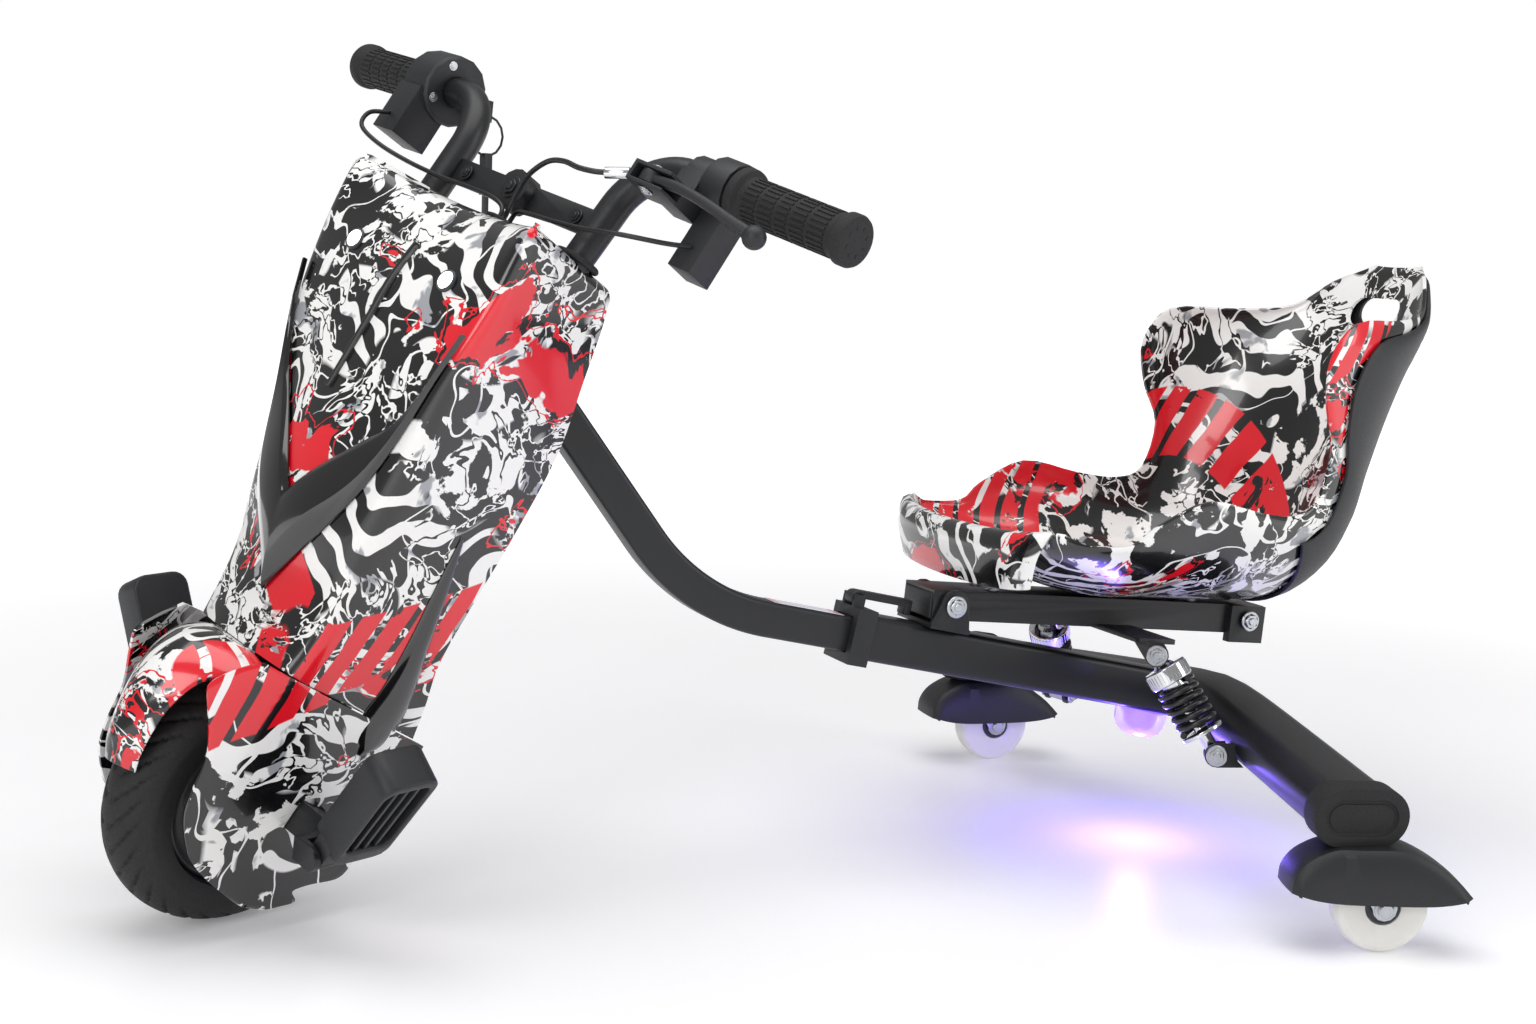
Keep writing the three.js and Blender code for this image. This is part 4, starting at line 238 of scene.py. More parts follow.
def swept(route, outline, side=None, sizes=None):
    """An outline carried along a route, with flat ends. side holds its first axis still."""
    route = [Vector(p) for p in route]
    points = []
    across = Vector(side) if side else None
    for i, here in enumerate(route):
        along = (route[min(i + 1, len(route) - 1)] - route[max(i - 1, 0)]).normalized()
        if across is None:
            across = along.orthogonal()
        level = (across - along * across.dot(along)).normalized()
        across = Vector(side) if side else level
        other = along.cross(level)
        size = sizes[i] if sizes else 1.0
        points += [here + level * x * size + other * y * size for x, y in outline]
    count = len(outline)
    faces = walls(len(route), count)
    faces.append(tuple(range(count)))
    faces.append(tuple(reversed(range(len(points) - count, len(points)))))
    return points, faces


def together(*shapes):
    points, faces = [], []
    for some, theirs in shapes:
        start = len(points)
        points += some
        faces += [tuple(start + i for i in face) for face in theirs]
    return points, faces


def cleaned(mesh, weld, thin=0.0, flat=0.0):
    """Welds close points and drops thin faces, then joins flat faces or turns all faces outward."""
    work = bmesh.new()
    work.from_mesh(mesh)
    bmesh.ops.remove_doubles(work, verts=work.verts, dist=weld)
    if thin:
        bmesh.ops.dissolve_degenerate(work, edges=work.edges, dist=thin)
    if flat:
        bmesh.ops.dissolve_limit(work, angle_limit=math.radians(flat), verts=work.verts, edges=work.edges)
    else:
        bmesh.ops.recalc_face_normals(work, faces=work.faces)
    work.to_mesh(mesh)
    work.free()


def plain_mesh(name, shape, group):
    mesh = bpy.data.meshes.new(name)
    mesh.from_pydata([tuple(p) for p in shape[0]], [], shape[1])
    cleaned(mesh, 0.01, thin=0.003)
    mesh.transform(group)
    return mesh


def applied(piece):
    graph = bpy.context.evaluated_depsgraph_get()
    final = bpy.data.meshes.new_from_object(piece.evaluated_get(graph), depsgraph=graph)
    piece.modifiers.clear()
    piece.data = final
    return final


def rounded(piece, bevel, sharp, steps=2):
    soft = piece.modifiers.new("rounded", "BEVEL")
    soft.width = bevel / 1000
    soft.segments = steps
    soft.limit_method = "ANGLE"
    soft.angle_limit = math.radians(sharp)


def fitted(piece, paint, body, stands_for=(), sharp=35.0):
    mesh = piece.data
    mesh.materials.clear()
    mesh.materials.append(paint)
    mesh.polygons.foreach_set("use_smooth", [True] * len(mesh.polygons))
    mesh.set_sharp_from_angle(angle=math.radians(sharp))
    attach(piece, body)
    if stands_for:
        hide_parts(*stands_for)
    return piece


def made(name, shape, group, paint, body, stands_for=(), bevel=0.0, sharp=35.0, cuts=(), steps=2):
    piece = placed(name, plain_mesh(name, shape, group))
    tools = []
    for i, cutter in enumerate(cuts):
        tool = placed(f"cutter_{i}", plain_mesh(f"cutter_{i}", cutter, group))
        hole = piece.modifiers.new(f"hole_{i}", "BOOLEAN")
        hole.object = tool
        hole.solver = "EXACT"
        tools.append(tool)
    if bevel:
        rounded(piece, bevel, sharp, steps)
    if cuts or bevel:
        applied(piece)
    for tool in tools:
        bpy.data.objects.remove(tool)
    return fitted(piece, paint, body, stands_for, sharp)


def refined(node, paint, body, bevel=0.6, sharp=28.0, steps=2):
    """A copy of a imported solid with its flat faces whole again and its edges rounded."""
    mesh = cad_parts[node].data.copy()
    cleaned(mesh, 1e-5, flat=0.7)
    piece = placed(node + "_finished", mesh)
    if bevel:
        rounded(piece, bevel, sharp, steps)
        applied(piece)
    return fitted(piece, paint, body, [node], sharp)


SIDES = (("left", 1), ("right", -1))
# The trike is drawn in mm from its middle line on the floor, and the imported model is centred.
trike = Matrix.Scale(0.001, 4) @ at(-323.957, -12.438, 0)
MOUTH, BEAM_SLOPE = (295, 0, 189), 11.6
beam = trike @ at(*MOUTH) @ turn("Y", -BEAM_SLOPE)
powder_coat = coated("powder_coated_steel", "frame_black", "#141517", 0.42, 0.6, 0.05, (0.34, 0.48),
                     ("#121315", "#1a1b1e"), 60.0)
beam_end = -318.0
made("rear_beam_tube", together(
    swept([(beam_end, 0, 0), (-1, 0, 0)], rounded_box(18, 18, 5), (0, 1, 0)),
    swept([(-1, 0, 0), (0, 0, 0)], rounded_box(17.4, 17.4, 4.6), (0, 1, 0))),
    beam, powder_coat, "rear_frame", ["rear_beam"])

# Cross tube: one flat oval steel tube, swept forward and drooping to both ends.
# The weld to the beam is a low bead round the joint, and rubber caps close both ends.
CROSS = {"x": -44, "z": 121, "sweep": 71, "droop": 20, "span": 297, "high": 19, "flat": 14, "bend": 30}


def cross_centre(y):
    share = abs(y) / CROSS["span"]
    return CROSS["x"] + CROSS["sweep"] * share, CROSS["z"] - CROSS["droop"] * share


def cross_part(start, end, grow, steps=24):
    route = []
    for i in range(steps + 1):
        y = start + (end - start) * i / steps
        bend = CROSS["bend"]
        middle = math.sqrt(y * y + bend * bend) - bend * (1 - min(1, abs(y) / CROSS["span"]))
        x, z = cross_centre(middle)
        route.append((x, y, z))
    return swept(route, ring(CROSS["high"] + grow, 40, CROSS["flat"]), (1, 0, 0))


made("cross_tube", cross_part(-CROSS["span"], CROSS["span"], 0), trike, powder_coat,
     "rear_frame", ["rear_cross_tube"])
bead_ring = [(math.cos(a) * 2.2, math.sin(a) * 2.2) for a in (i * math.pi / 4 for i in range(8))]
bead_route = [(beam_end + 12 + 7 * math.cos(a * 2), 18.6 * math.cos(a), 18.6 * math.sin(a))
              for a in (i * math.pi / 20 for i in range(41))]
made("beam_weld", swept(bead_route, bead_ring), beam, powder_coat, "rear_frame")

# Rubber: a dull black that hardly shines.
rubber = coated("moulded_rubber", "rubber", "#1a1a1b", 0.8, 0.9, 0.08, (0.66, 0.86),
    ("#171718", "#202022"), 25.0)
for name, side in SIDES:
    end = CROSS["span"] + 0.3
    sleeve = cross_part(side * (end - 17), side * (end + 3), 3.2, 4)
    rim = cross_part(side * (end + 1.2), side * (end + 3.4), 1.2, 2)
    well = cross_part(side * (end + 1.6), side * (end + 12), -5.5, 2)
    made(f"end_cap_{name}", sleeve, trike, rubber, "rear_frame",
         [f"arm_end_cap_{name}"], bevel=1.6, cuts=[well], steps=3)
    made(f"end_cap_panel_{name}", cross_part(side * (end + 1.0), side * (end + 2.3), -8.5, 2),
         trike, rubber, "rear_frame", bevel=0.5)


# Rear wheels: a zinc plated fork swivels under each end, with a black nylon fender and a cast
# polyurethane wheel, milky and a little translucent, on a bearing and a plated axle bolt.
def lathed(profile, steps=64):
    """A closed outline of radius and height, turned about the y axis."""
    points = []
    for i in range(steps):
        angle = 2 * math.pi * i / steps
        points += [Vector((r * math.cos(angle), y, r * math.sin(angle))) for r, y in profile]
    return points, walls(steps, len(profile), True)


def tube_wall(inner, outer, half):
    return [(inner, -half), (outer, -half), (outer, half), (inner, half)]


# Stands a lathed shape up, so that its y runs along z.
STAND = turn("X", 90) @ Matrix.Diagonal((1, 1, -1, 1))


def block(x, y, z):
    points = [Vector((a, b, c)) for a in x for b in y for c in z]
    faces = [(0, 1, 3, 2), (4, 6, 7, 5), (0, 4, 5, 1), (2, 3, 7, 6), (0, 2, 6, 4), (1, 5, 7, 3)]
    return points, faces


def curve_points(points, steps):
    """A smooth line through points of any size, with this many steps between each two."""
    points = [Vector(p) for p in points]
    line = []
    for i in range(len(points) - 1):
        before = points[i - 1] if i else points[0] * 2 - points[1]
        after = points[i + 2] if i + 2 < len(points) else points[-1] * 2 - points[-2]
        a, b = points[i], points[i + 1]
        for k in range(steps):
            t = k / steps
            line.append(0.5 * (2 * a + (b - before) * t + (2 * before - 5 * a + 4 * b - after) * t * t
                               + (3 * a - before - 3 * b + after) * t ** 3))
    return line + [points[-1]]


def shell(outer, inner, first=True, last=True):
    """A closed sheet between two grids of points, with its ends closed or left open."""
    columns = len(outer[0])
    points = []
    for row, under in zip(outer, inner):
        points += list(row) + list(reversed(under))
    count = columns * 2
    faces = walls(len(outer), count)
    for shown, start in ((first, 0), (last, (len(outer) - 1) * count)):
        if shown:
            for j in range(columns - 1):
                faces.append((start + j, start + j + 1, start + count - 2 - j, start + count - 1 - j))
    return points, faces


def offset(rows, distance):
    """Each point of a grid moved along the grid's normal, by one distance or one for each point."""
    result = []
    for i, row in enumerate(rows):
        line = []
        for j, point in enumerate(row):
            down = rows[min(i + 1, len(rows) - 1)][j] - rows[max(i - 1, 0)][j]
            over = row[min(j + 1, len(row) - 1)] - row[max(j - 1, 0)]
            away = distance(i, j) if callable(distance) else distance
            line.append(point + over.cross(down).normalized() * away)
        result.append(line)
    return result


# Zinc plate: a cool grey metal with cloudy patches.
zinc = coated("zinc_plated_steel", "zinc", "#b9bcc0", 0.3, 1.4, 0.02, (0.24, 0.4),
    ("#a9adb3", "#c9cbce"), 9.0, metallic=1.0)
# Nylon: charcoal, with the fine dull texture of a spark eroded mould.
nylon = coated("moulded_nylon", "black_plastic", "#1b1c1e", 0.5, 0.8, 0.06, (0.42, 0.6),
    ("#191a1c", "#222326"), 45.0)
# Polyurethane: milky white, soft at its edges because light goes in.
urethane, tree, shader, place = finish("cast_polyurethane", "white_wheel", "#eeece6", 0.34)
shader.inputs["Subsurface Weight"].default_value = 0.5
shader.inputs["Subsurface Radius"].default_value = (0.006, 0.006, 0.005)
grained(tree, shader, place, 3.0, 0.03, (0.28, 0.42), ("#e4e2dc", "#f5f4f0"), 14.0)
# Bearing seal: a dark grey ring round the axle.
seal = coated("bearing_seal", "zinc", "#3a3c40", 0.45, 0.7, 0.02, (0.4, 0.55))

FENDER_SIDE = ((46, 46), (44.5, 57), (36, 68), (18, 77), (0, 77.8), (-32, 77.8), (-50, 72),
               (-66, 62), (-77, 52), (-83.5, 45))
SWIVEL_Y = 287
swivel_x = cross_centre(SWIVEL_Y)[0]
casters = {"left": trike @ at(swivel_x, SWIVEL_Y, 0) @ turn("Z", -21.7),
           "right": trike @ at(swivel_x, -SWIVEL_Y, 0) @ turn("Z", -5.8)}
for name, side in SIDES:
    group, body = casters[name], f"caster_{name}"
    refined(f"caster_fork_{name}", zinc, body, bevel=0.5)
    crest = curve_points([(x, 0, z) for x, z in FENDER_SIDE], 4)
    section = ((-23, 21), (-23, 12), (-22.4, 5), (-19, 0.8), (-9, 0), (0, -0.2), (9, 0), (19, 0.8),
               (22.4, 5), (23, 12), (23, 21))
    middle = Vector((-20, 0, 30))
    skin = []
    for point in crest:
        inward = (middle - point).normalized()
        skirt_edge = 40 + 5 * ((point.x + 20) / 65) ** 4
        line = [point + Vector((0, y, 0)) + inward * min(drop, 5) for y, drop in section]
        for k, share in ((0, 1.0), (1, 0.5), (-2, 0.5), (-1, 1.0)):
            line[k].z += (min(skirt_edge, line[k].z - 1) - line[k].z) * share
        skin.append(line)
    made(f"wheel_guard_{name}", shell(skin, offset(skin, 2.0)), group, nylon, body,
         [f"caster_fender_{name}"], bevel=0.4, sharp=40)
    hub = group @ at(-22, 0, 35)
    tread = [(13, -12), (29, -12.5), (32.5, -10.8), (34.4, -6.5), (35, 0), (34.4, 6.5), (32.5, 10.8),
             (29, 12.5), (13, 12), (13, 9), (11, 9), (11, -9), (13, -9)]
    made(f"roller_{name}", lathed(tread, 72), hub, urethane, f"caster_roller_{name}",
         [f"caster_wheel_{name}"], bevel=0.5, sharp=25)
    made(f"bearing_{name}", lathed([(4.6, -11), (7, -11.3), (7, -10.6), (11, -10.6), (11.2, -11.3),
        (12.6, -11.3), (12.6, 11.3), (11.2, 11.3), (11, 10.6), (7, 10.6), (7, 11.3), (4.6, 11)], 48),
        hub, seal, f"caster_roller_{name}")
    nuts = [lathed([(0, s * 16), (5.6, s * 16), (7.8, s * 16.2), (7.8, s * 17.2), (5.9, s * 17.4),
                    (5.9, s * 20.4), (4.8, s * 21.4), (0, s * 21.4)], 12) for s in (1, -1)]
    made(f"axle_nuts_{name}", together(*nuts), hub, zinc, body)

# Sliding main tube: a 28 mm square tube bent up to the head tube, and the head tube itself.
# A bare film label in pale lilac lies on its top, just ahead of the clamp, between red lines.
WHEEL_X, RAKE, STEERED, HEAD_UP = 774, 32, 25, 373
# The tyre's middle circle and the radius of its section, in mm.
TYRE_MIDDLE, TYRE_SECTION = 68.5, 27.5
slope = math.radians(BEAM_SLOPE)
rise = math.radians(53.6)
rake = math.radians(RAKE)
# The wheel stands steered, so its raked axis leans it over and its axle lies a little lower.
lean = math.asin(math.sin(math.radians(STEERED)) * math.sin(rake))
axle_z = TYRE_MIDDLE * math.cos(lean) + TYRE_SECTION
head_x = WHEEL_X - HEAD_UP * math.sin(rake)
head_z = axle_z + HEAD_UP * math.cos(rake)
low_way = Vector((math.cos(slope), 0, math.sin(slope)))
high_way = Vector((math.cos(rise), 0, math.sin(rise)))
across = (head_x - MOUTH[0]) * high_way.z - (head_z - MOUTH[2]) * high_way.x
knee = Vector(MOUTH) + low_way * (across / (low_way.x * high_way.z - low_way.z * high_way.x))


def bent(points, radii, steps=12):
    """Straight stretches joined by arcs of the given radii."""
    points = [Vector(p) for p in points]
    route = [points[0]]
    for i, radius in enumerate(radii, 1):
        back = (points[i - 1] - points[i]).normalized()
        on = (points[i + 1] - points[i]).normalized()
        bend = math.pi - back.angle(on)
        start = points[i] + back * radius * math.tan(bend / 2)
        middle = points[i] + (back + on).normalized() * radius / math.cos(bend / 2)
        spin = back.cross(on).normalized()
        arm = start - middle
        for k in range(steps + 1):
            route.append(middle + Matrix.Rotation(-bend * k / steps, 3, spin) @ arm)
    return route + [points[-1]]


head = trike @ at(WHEEL_X, 0, axle_z) @ turn("Y", -RAKE)
head_end = Vector((head_x, 0, head_z)) - high_way * 17
slide_route = bent([Vector(MOUTH) - low_way * 150, knee, head_end], [165], 28)
made("sliding_tube", swept(slide_route, rounded_box(14, 14, 4), (0, 1, 0)), trike, powder_coat,
     "front_frame", ["main_tube"])
film = coated("bare_label_film", "frame_black", "#e4e3ef", 0.3, 1.2, 0.01, (0.24, 0.36),
    ("#dcdbe8", "#ebeaf3"), 18.0, clear=0.3)
made("bare_label", block((16, 76), (-12, 12), (14.05, 14.3)), beam, film, "front_frame")
red_film = coated("red_label_edge", "frame_black", "#d8485f", 0.3, 1.2, 0.01, (0.24, 0.36), clear=0.3)
edges = (block((x, x + 1.0), (-12, 12), (14.3, 14.36)) for x in (18, 20.4, 70.6, 73))
made("label_edges", together(*edges), beam, red_film, "front_frame")
collar = [(20.4, 335), (20.4, 340), (20, 341), (20, 405), (20.4, 406), (20.4, 411), (19.6, 412.6),
    (13.8, 412.6), (13.8, 333.4), (19.6, 333.4)]
made("head_tube_turned", lathed(collar, 64), head @ STAND, powder_coat, "front_frame",
     ["head_tube"])
weld_middle = Vector((head_x, 0, head_z)) - high_way * 19
made("head_weld", swept([weld_middle + Vector((0, 15.4 * math.cos(a), 0))
                         + Vector((-high_way.z, 0, high_way.x)) * 15.4 * math.sin(a)
                         + high_way * 3 * math.cos(2 * a) for a in (i * math.pi / 18 for i in range(37))],
                        bead_ring), trike, powder_coat, "front_frame")

# Clamp on the beam's mouth: a moulded collar that a cam lever on top draws shut, with its
# closing bolt below. Both are glass filled nylon with a dull grain.
refined("clamp_collar", nylon, "rear_frame", bevel=1.2, steps=3)
refined("clamp_lever", nylon, "clamp_lever", bevel=1.0, steps=3)


# A bolt or nut is one made shape for the whole trike: a washer, a hexagon and a thread end,
# put wherever a point is given, by nodes. Its sizes are the bolt's own.
def new_tree(name, sizes):
    made_tree = bpy.data.node_groups.new(name, "GeometryNodeTree")
    made_tree.interface.new_socket("Geometry", in_out="INPUT", socket_type="NodeSocketGeometry")
    for label, kind, value in (*sizes, ("Paint", "Material", None)):
        socket = made_tree.interface.new_socket(label, in_out="INPUT", socket_type="NodeSocket" + kind)
        if value is not None:
            socket.default_value = value
    made_tree.interface.new_socket("Geometry", in_out="OUTPUT", socket_type="NodeSocketGeometry")
    return made_tree, add(made_tree, "NodeGroupInput").outputs, add(made_tree, "NodeGroupOutput")


def instanced(made_tree, points, part, spin):
    spread = add(made_tree, "GeometryNodeInstanceOnPoints",
                 {"Points": points, "Instance": part, "Rotation": spin})
    return add(made_tree, "GeometryNodeRealizeInstances", {0: spread.outputs[0]}).outputs[0]


def paint_all(made_tree, geometry, given, result):
    painted = add(made_tree, "GeometryNodeSetMaterial", {"Geometry": geometry, "Material": given["Paint"]})
    made_tree.links.new(painted.outputs[0], result.inputs[0])


def grown(name, made_tree, sizes, places, group):
    """The mesh that a node tree makes from a set of points, put where the group is."""
    start = bpy.data.meshes.new(name)
    start.from_pydata([tuple(p) for p in places], [], [])
    maker = placed(name + "_maker", start)
    shape = maker.modifiers.new("shape", "NODES")
    shape.node_group = made_tree
    for item in made_tree.interface.items_tree:
        if item.in_out == "INPUT" and item.name in sizes:
            shape[item.identifier] = sizes[item.name]
    mesh = applied(maker)
    mesh.transform(group)
    bpy.data.objects.remove(maker)
    cleaned(mesh, 1e-6)
    return placed(name, mesh)


bolts, given, result = new_tree("bolt_heads", (("Radius", "Float", 6.0), ("Height", "Float", 4.0),
                                               ("Turn", "Rotation", None)))
wide = worked(bolts, "MULTIPLY", given["Radius"], 1.35)
thin = worked(bolts, "MULTIPLY", given["Height"], 0.3)
stub = worked(bolts, "MULTIPLY", given["Radius"], 0.52)
tall = worked(bolts, "MULTIPLY", given["Height"], 1.5)
washer = add(bolts, "GeometryNodeMeshCylinder", {"Vertices": 28, "Radius": wide, "Depth": thin})
hexagon = add(bolts, "GeometryNodeMeshCylinder", {"Vertices": 6, "Radius": given["Radius"],
    "Depth": given["Height"]})
thread = add(bolts, "GeometryNodeMeshCylinder", {"Vertices": 18, "Radius": stub, "Depth": tall})
heads = add(bolts, "GeometryNodeJoinGeometry")
for part in (washer, hexagon, thread):
    bolts.links.new(part.outputs["Mesh"], heads.inputs[0])
paint_all(bolts, instanced(bolts, given["Geometry"], heads.outputs[0], given["Turn"]), given, result)


def bolted(name, places, radius, height, spin, group, body, paint=None):
    sizes = {"Radius": radius, "Height": height, "Turn": tuple(math.radians(a) for a in spin),
             "Paint": paint or zinc}
    piece = grown(name, bolts, sizes, places, group)
    rounded(piece, min(radius, height) * 0.12, 30, 1)
    applied(piece)
    return fitted(piece, paint or zinc, body, sharp=30)


# Seat pivot and the pressed channel that carries the seat. Bolts hold both ends, and ears
# under the channel take the tops of the two spring legs.
refined("seat_pivot_bracket", powder_coat, "rear_frame", bevel=0.7)
refined("seat_frame", powder_coat, "seat", bevel=0.7)
SEAT_PIVOT = (219, 0, 213)
rail = trike @ at(*SEAT_PIVOT) @ turn("Y", -4.3)
bolted("pivot_bolts", [(0, 31.8, 0), (0, -31.8, 0)], 6.6, 5, (90, 0, 0), rail, "rear_frame")
bolted("seat_rear_bolts", [(-279, 35, 0), (-279, -35, 0)], 6.4, 5, (90, 0, 0), rail, "seat")
made("channel_plug", block((11, 18.8), (-22.2, 22.2), (-11.6, 9.2)), rail, nylon, "seat",
     bevel=1.6, steps=3)
bolted("seat_screws", [(x, y, 13.0) for x in (-40, -150, -230) for y in (-14, 14)], 4.2, 2.4, (0, 0, 0),
       rail, "seat")


# Spring legs: a plated rod in a plated barrel, a black coil round both, and a knurled collar
# that sets the spring. Each leg leans in to its top bolt.
coil, given, result = new_tree("coil_spring", (("Turns", "Float", 5.0), ("Radius", "Float", 14.6),
                                               ("Length", "Float", 43.0), ("Wire", "Float", 2.2)))
spiral = add(coil, "GeometryNodeCurveSpiral",
             {"Resolution": 48, "Rotations": given["Turns"], "Start Radius": given["Radius"],
              "End Radius": given["Radius"], "Height": given["Length"]})
wire = add(coil, "GeometryNodeCurvePrimitiveCircle", {"Resolution": 14, "Radius": given["Wire"]})
tube = add(coil, "GeometryNodeCurveToMesh", {0: spiral.outputs[0], 1: wire.outputs[0], "Fill Caps": True})
paint_all(coil, tube.outputs[0], given, result)
ridges, given, result = new_tree("ridges_round_an_axis", (
    ("Count", "Int", 24), ("Radius", "Float", 15.0), ("Size", "Vector", (1.0, 1.0, 1.0))))
circle = add(ridges, "GeometryNodeMeshCircle", {"Vertices": given["Count"], "Radius": given["Radius"]})
bar = add(ridges, "GeometryNodeMeshCube", {"Size": given["Size"]})
outward = add(ridges, "FunctionNodeAlignRotationToVector",
              {"Vector": add(ridges, "GeometryNodeInputPosition").outputs[0]}, axis="X")
paint_all(ridges, instanced(ridges, circle.outputs[0], bar.outputs[0], outward.outputs[0]), given, result)


def ridged(name, count, radius, size, group, paint, body):
    piece = grown(name, ridges, {"Count": count, "Radius": radius, "Size": size, "Paint": paint},
        [(0, 0, 0)], group)
    return fitted(piece, paint, body, sharp=30)


# Enamel: glossy black on the coils.
enamel = coated("enamelled_spring_steel", "spring_black", "#0b0b0d", 0.3, 1.0, 0.02, (0.26, 0.38),
    clear=0.25)
# Chrome: a bright mirror with faint wear.
chrome = coated("polished_chrome", "zinc", "#d6d8da", 0.12, 2.0, 0.01, (0.08, 0.16),
    ("#cfd2d5", "#e0e1e2"), 12.0, metallic=1.0)
LEG_FOOT, LEG_TOP = (28, 120, 104), (66, 85, 179)
LEG_LENGTH = math.dist(LEG_FOOT, LEG_TOP)
for name, side in SIDES:
    foot, top = (Vector((x, side * y, z)) for x, y, z in (LEG_FOOT, LEG_TOP))
    up = (top - foot).normalized()
    # The top moves square to its arm from the seat's pivot, and the pins lie square to that and the leg.
    pin = Vector((LEG_TOP[2] - SEAT_PIVOT[2], 0, SEAT_PIVOT[0] - LEG_TOP[0])).cross(up).normalized()
    cheek = pin.cross(up)
    leg = trike @ Matrix(((cheek.x, pin.x, up.x, foot.x), (cheek.y, pin.y, up.y, foot.y),
                          (cheek.z, pin.z, up.z, foot.z), (0, 0, 0, 1)))
    upward = leg @ STAND
    low, high = f"leg_lower_{name}", f"leg_upper_{name}"
    rod = [(0, 6), (5.4, 6), (5.4, 18.6), (13, 19), (17.4, 19), (17.4, 22), (6.2, 22), (5.4, 24),
           (5.4, 62), (0, 62)]
    made(f"leg_rod_{name}", lathed(rod, 40), upward, chrome, low, [f"shock_rod_{name}"], bevel=0.4)
    made(f"leg_rod_eye_{name}", lathed(tube_wall(4.6, 8, 6.8), 32), leg, zinc, low, bevel=0.5)
    barrel = [(6, 46), (9.2, 46), (10, 47), (10, 66), (16.6, 66), (17.4, 67), (17.4, 79), (16.6, 80),
        (9, 80), (6.5, 83), (0, 83), (0, 62), (6, 62)]
    made(f"leg_barrel_{name}", lathed(barrel, 48), upward, chrome, high, [f"shock_body_{name}"], bevel=0.3)
    made(f"leg_top_eye_{name}", lathed(tube_wall(5, 8, 6.8), 32), leg @ at(0, 0, LEG_LENGTH),
         zinc, high, bevel=0.5)
    ridged(f"collar_knurl_{name}", 36, 17.3, (1.0, 1.5, 9.0), leg @ at(0, 0, 73), chrome, high)
    sizes = {"Turns": 5.6, "Radius": 14.5, "Length": 39.0, "Wire": 2.7, "Paint": enamel}
    spring = grown(f"spring_{name}", coil, sizes, [(0, 0, 0)], leg @ at(0, 0, 24.6))
    fitted(spring, enamel, low, [f"shock_spring_{name}"], sharp=60)
    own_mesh(spring)
    refined(f"shock_foot_{name}", powder_coat, "rear_frame", bevel=0.6)
    for end, z, holder in (("foot", 0, "rear_frame"), ("top", LEG_LENGTH, "seat")):
        bolted(f"leg_{end}_bolts_{name}", [(0, 13.4, z), (0, -13.4, z)], 6.2, 4.6, (90, 0, 0), leg, holder)


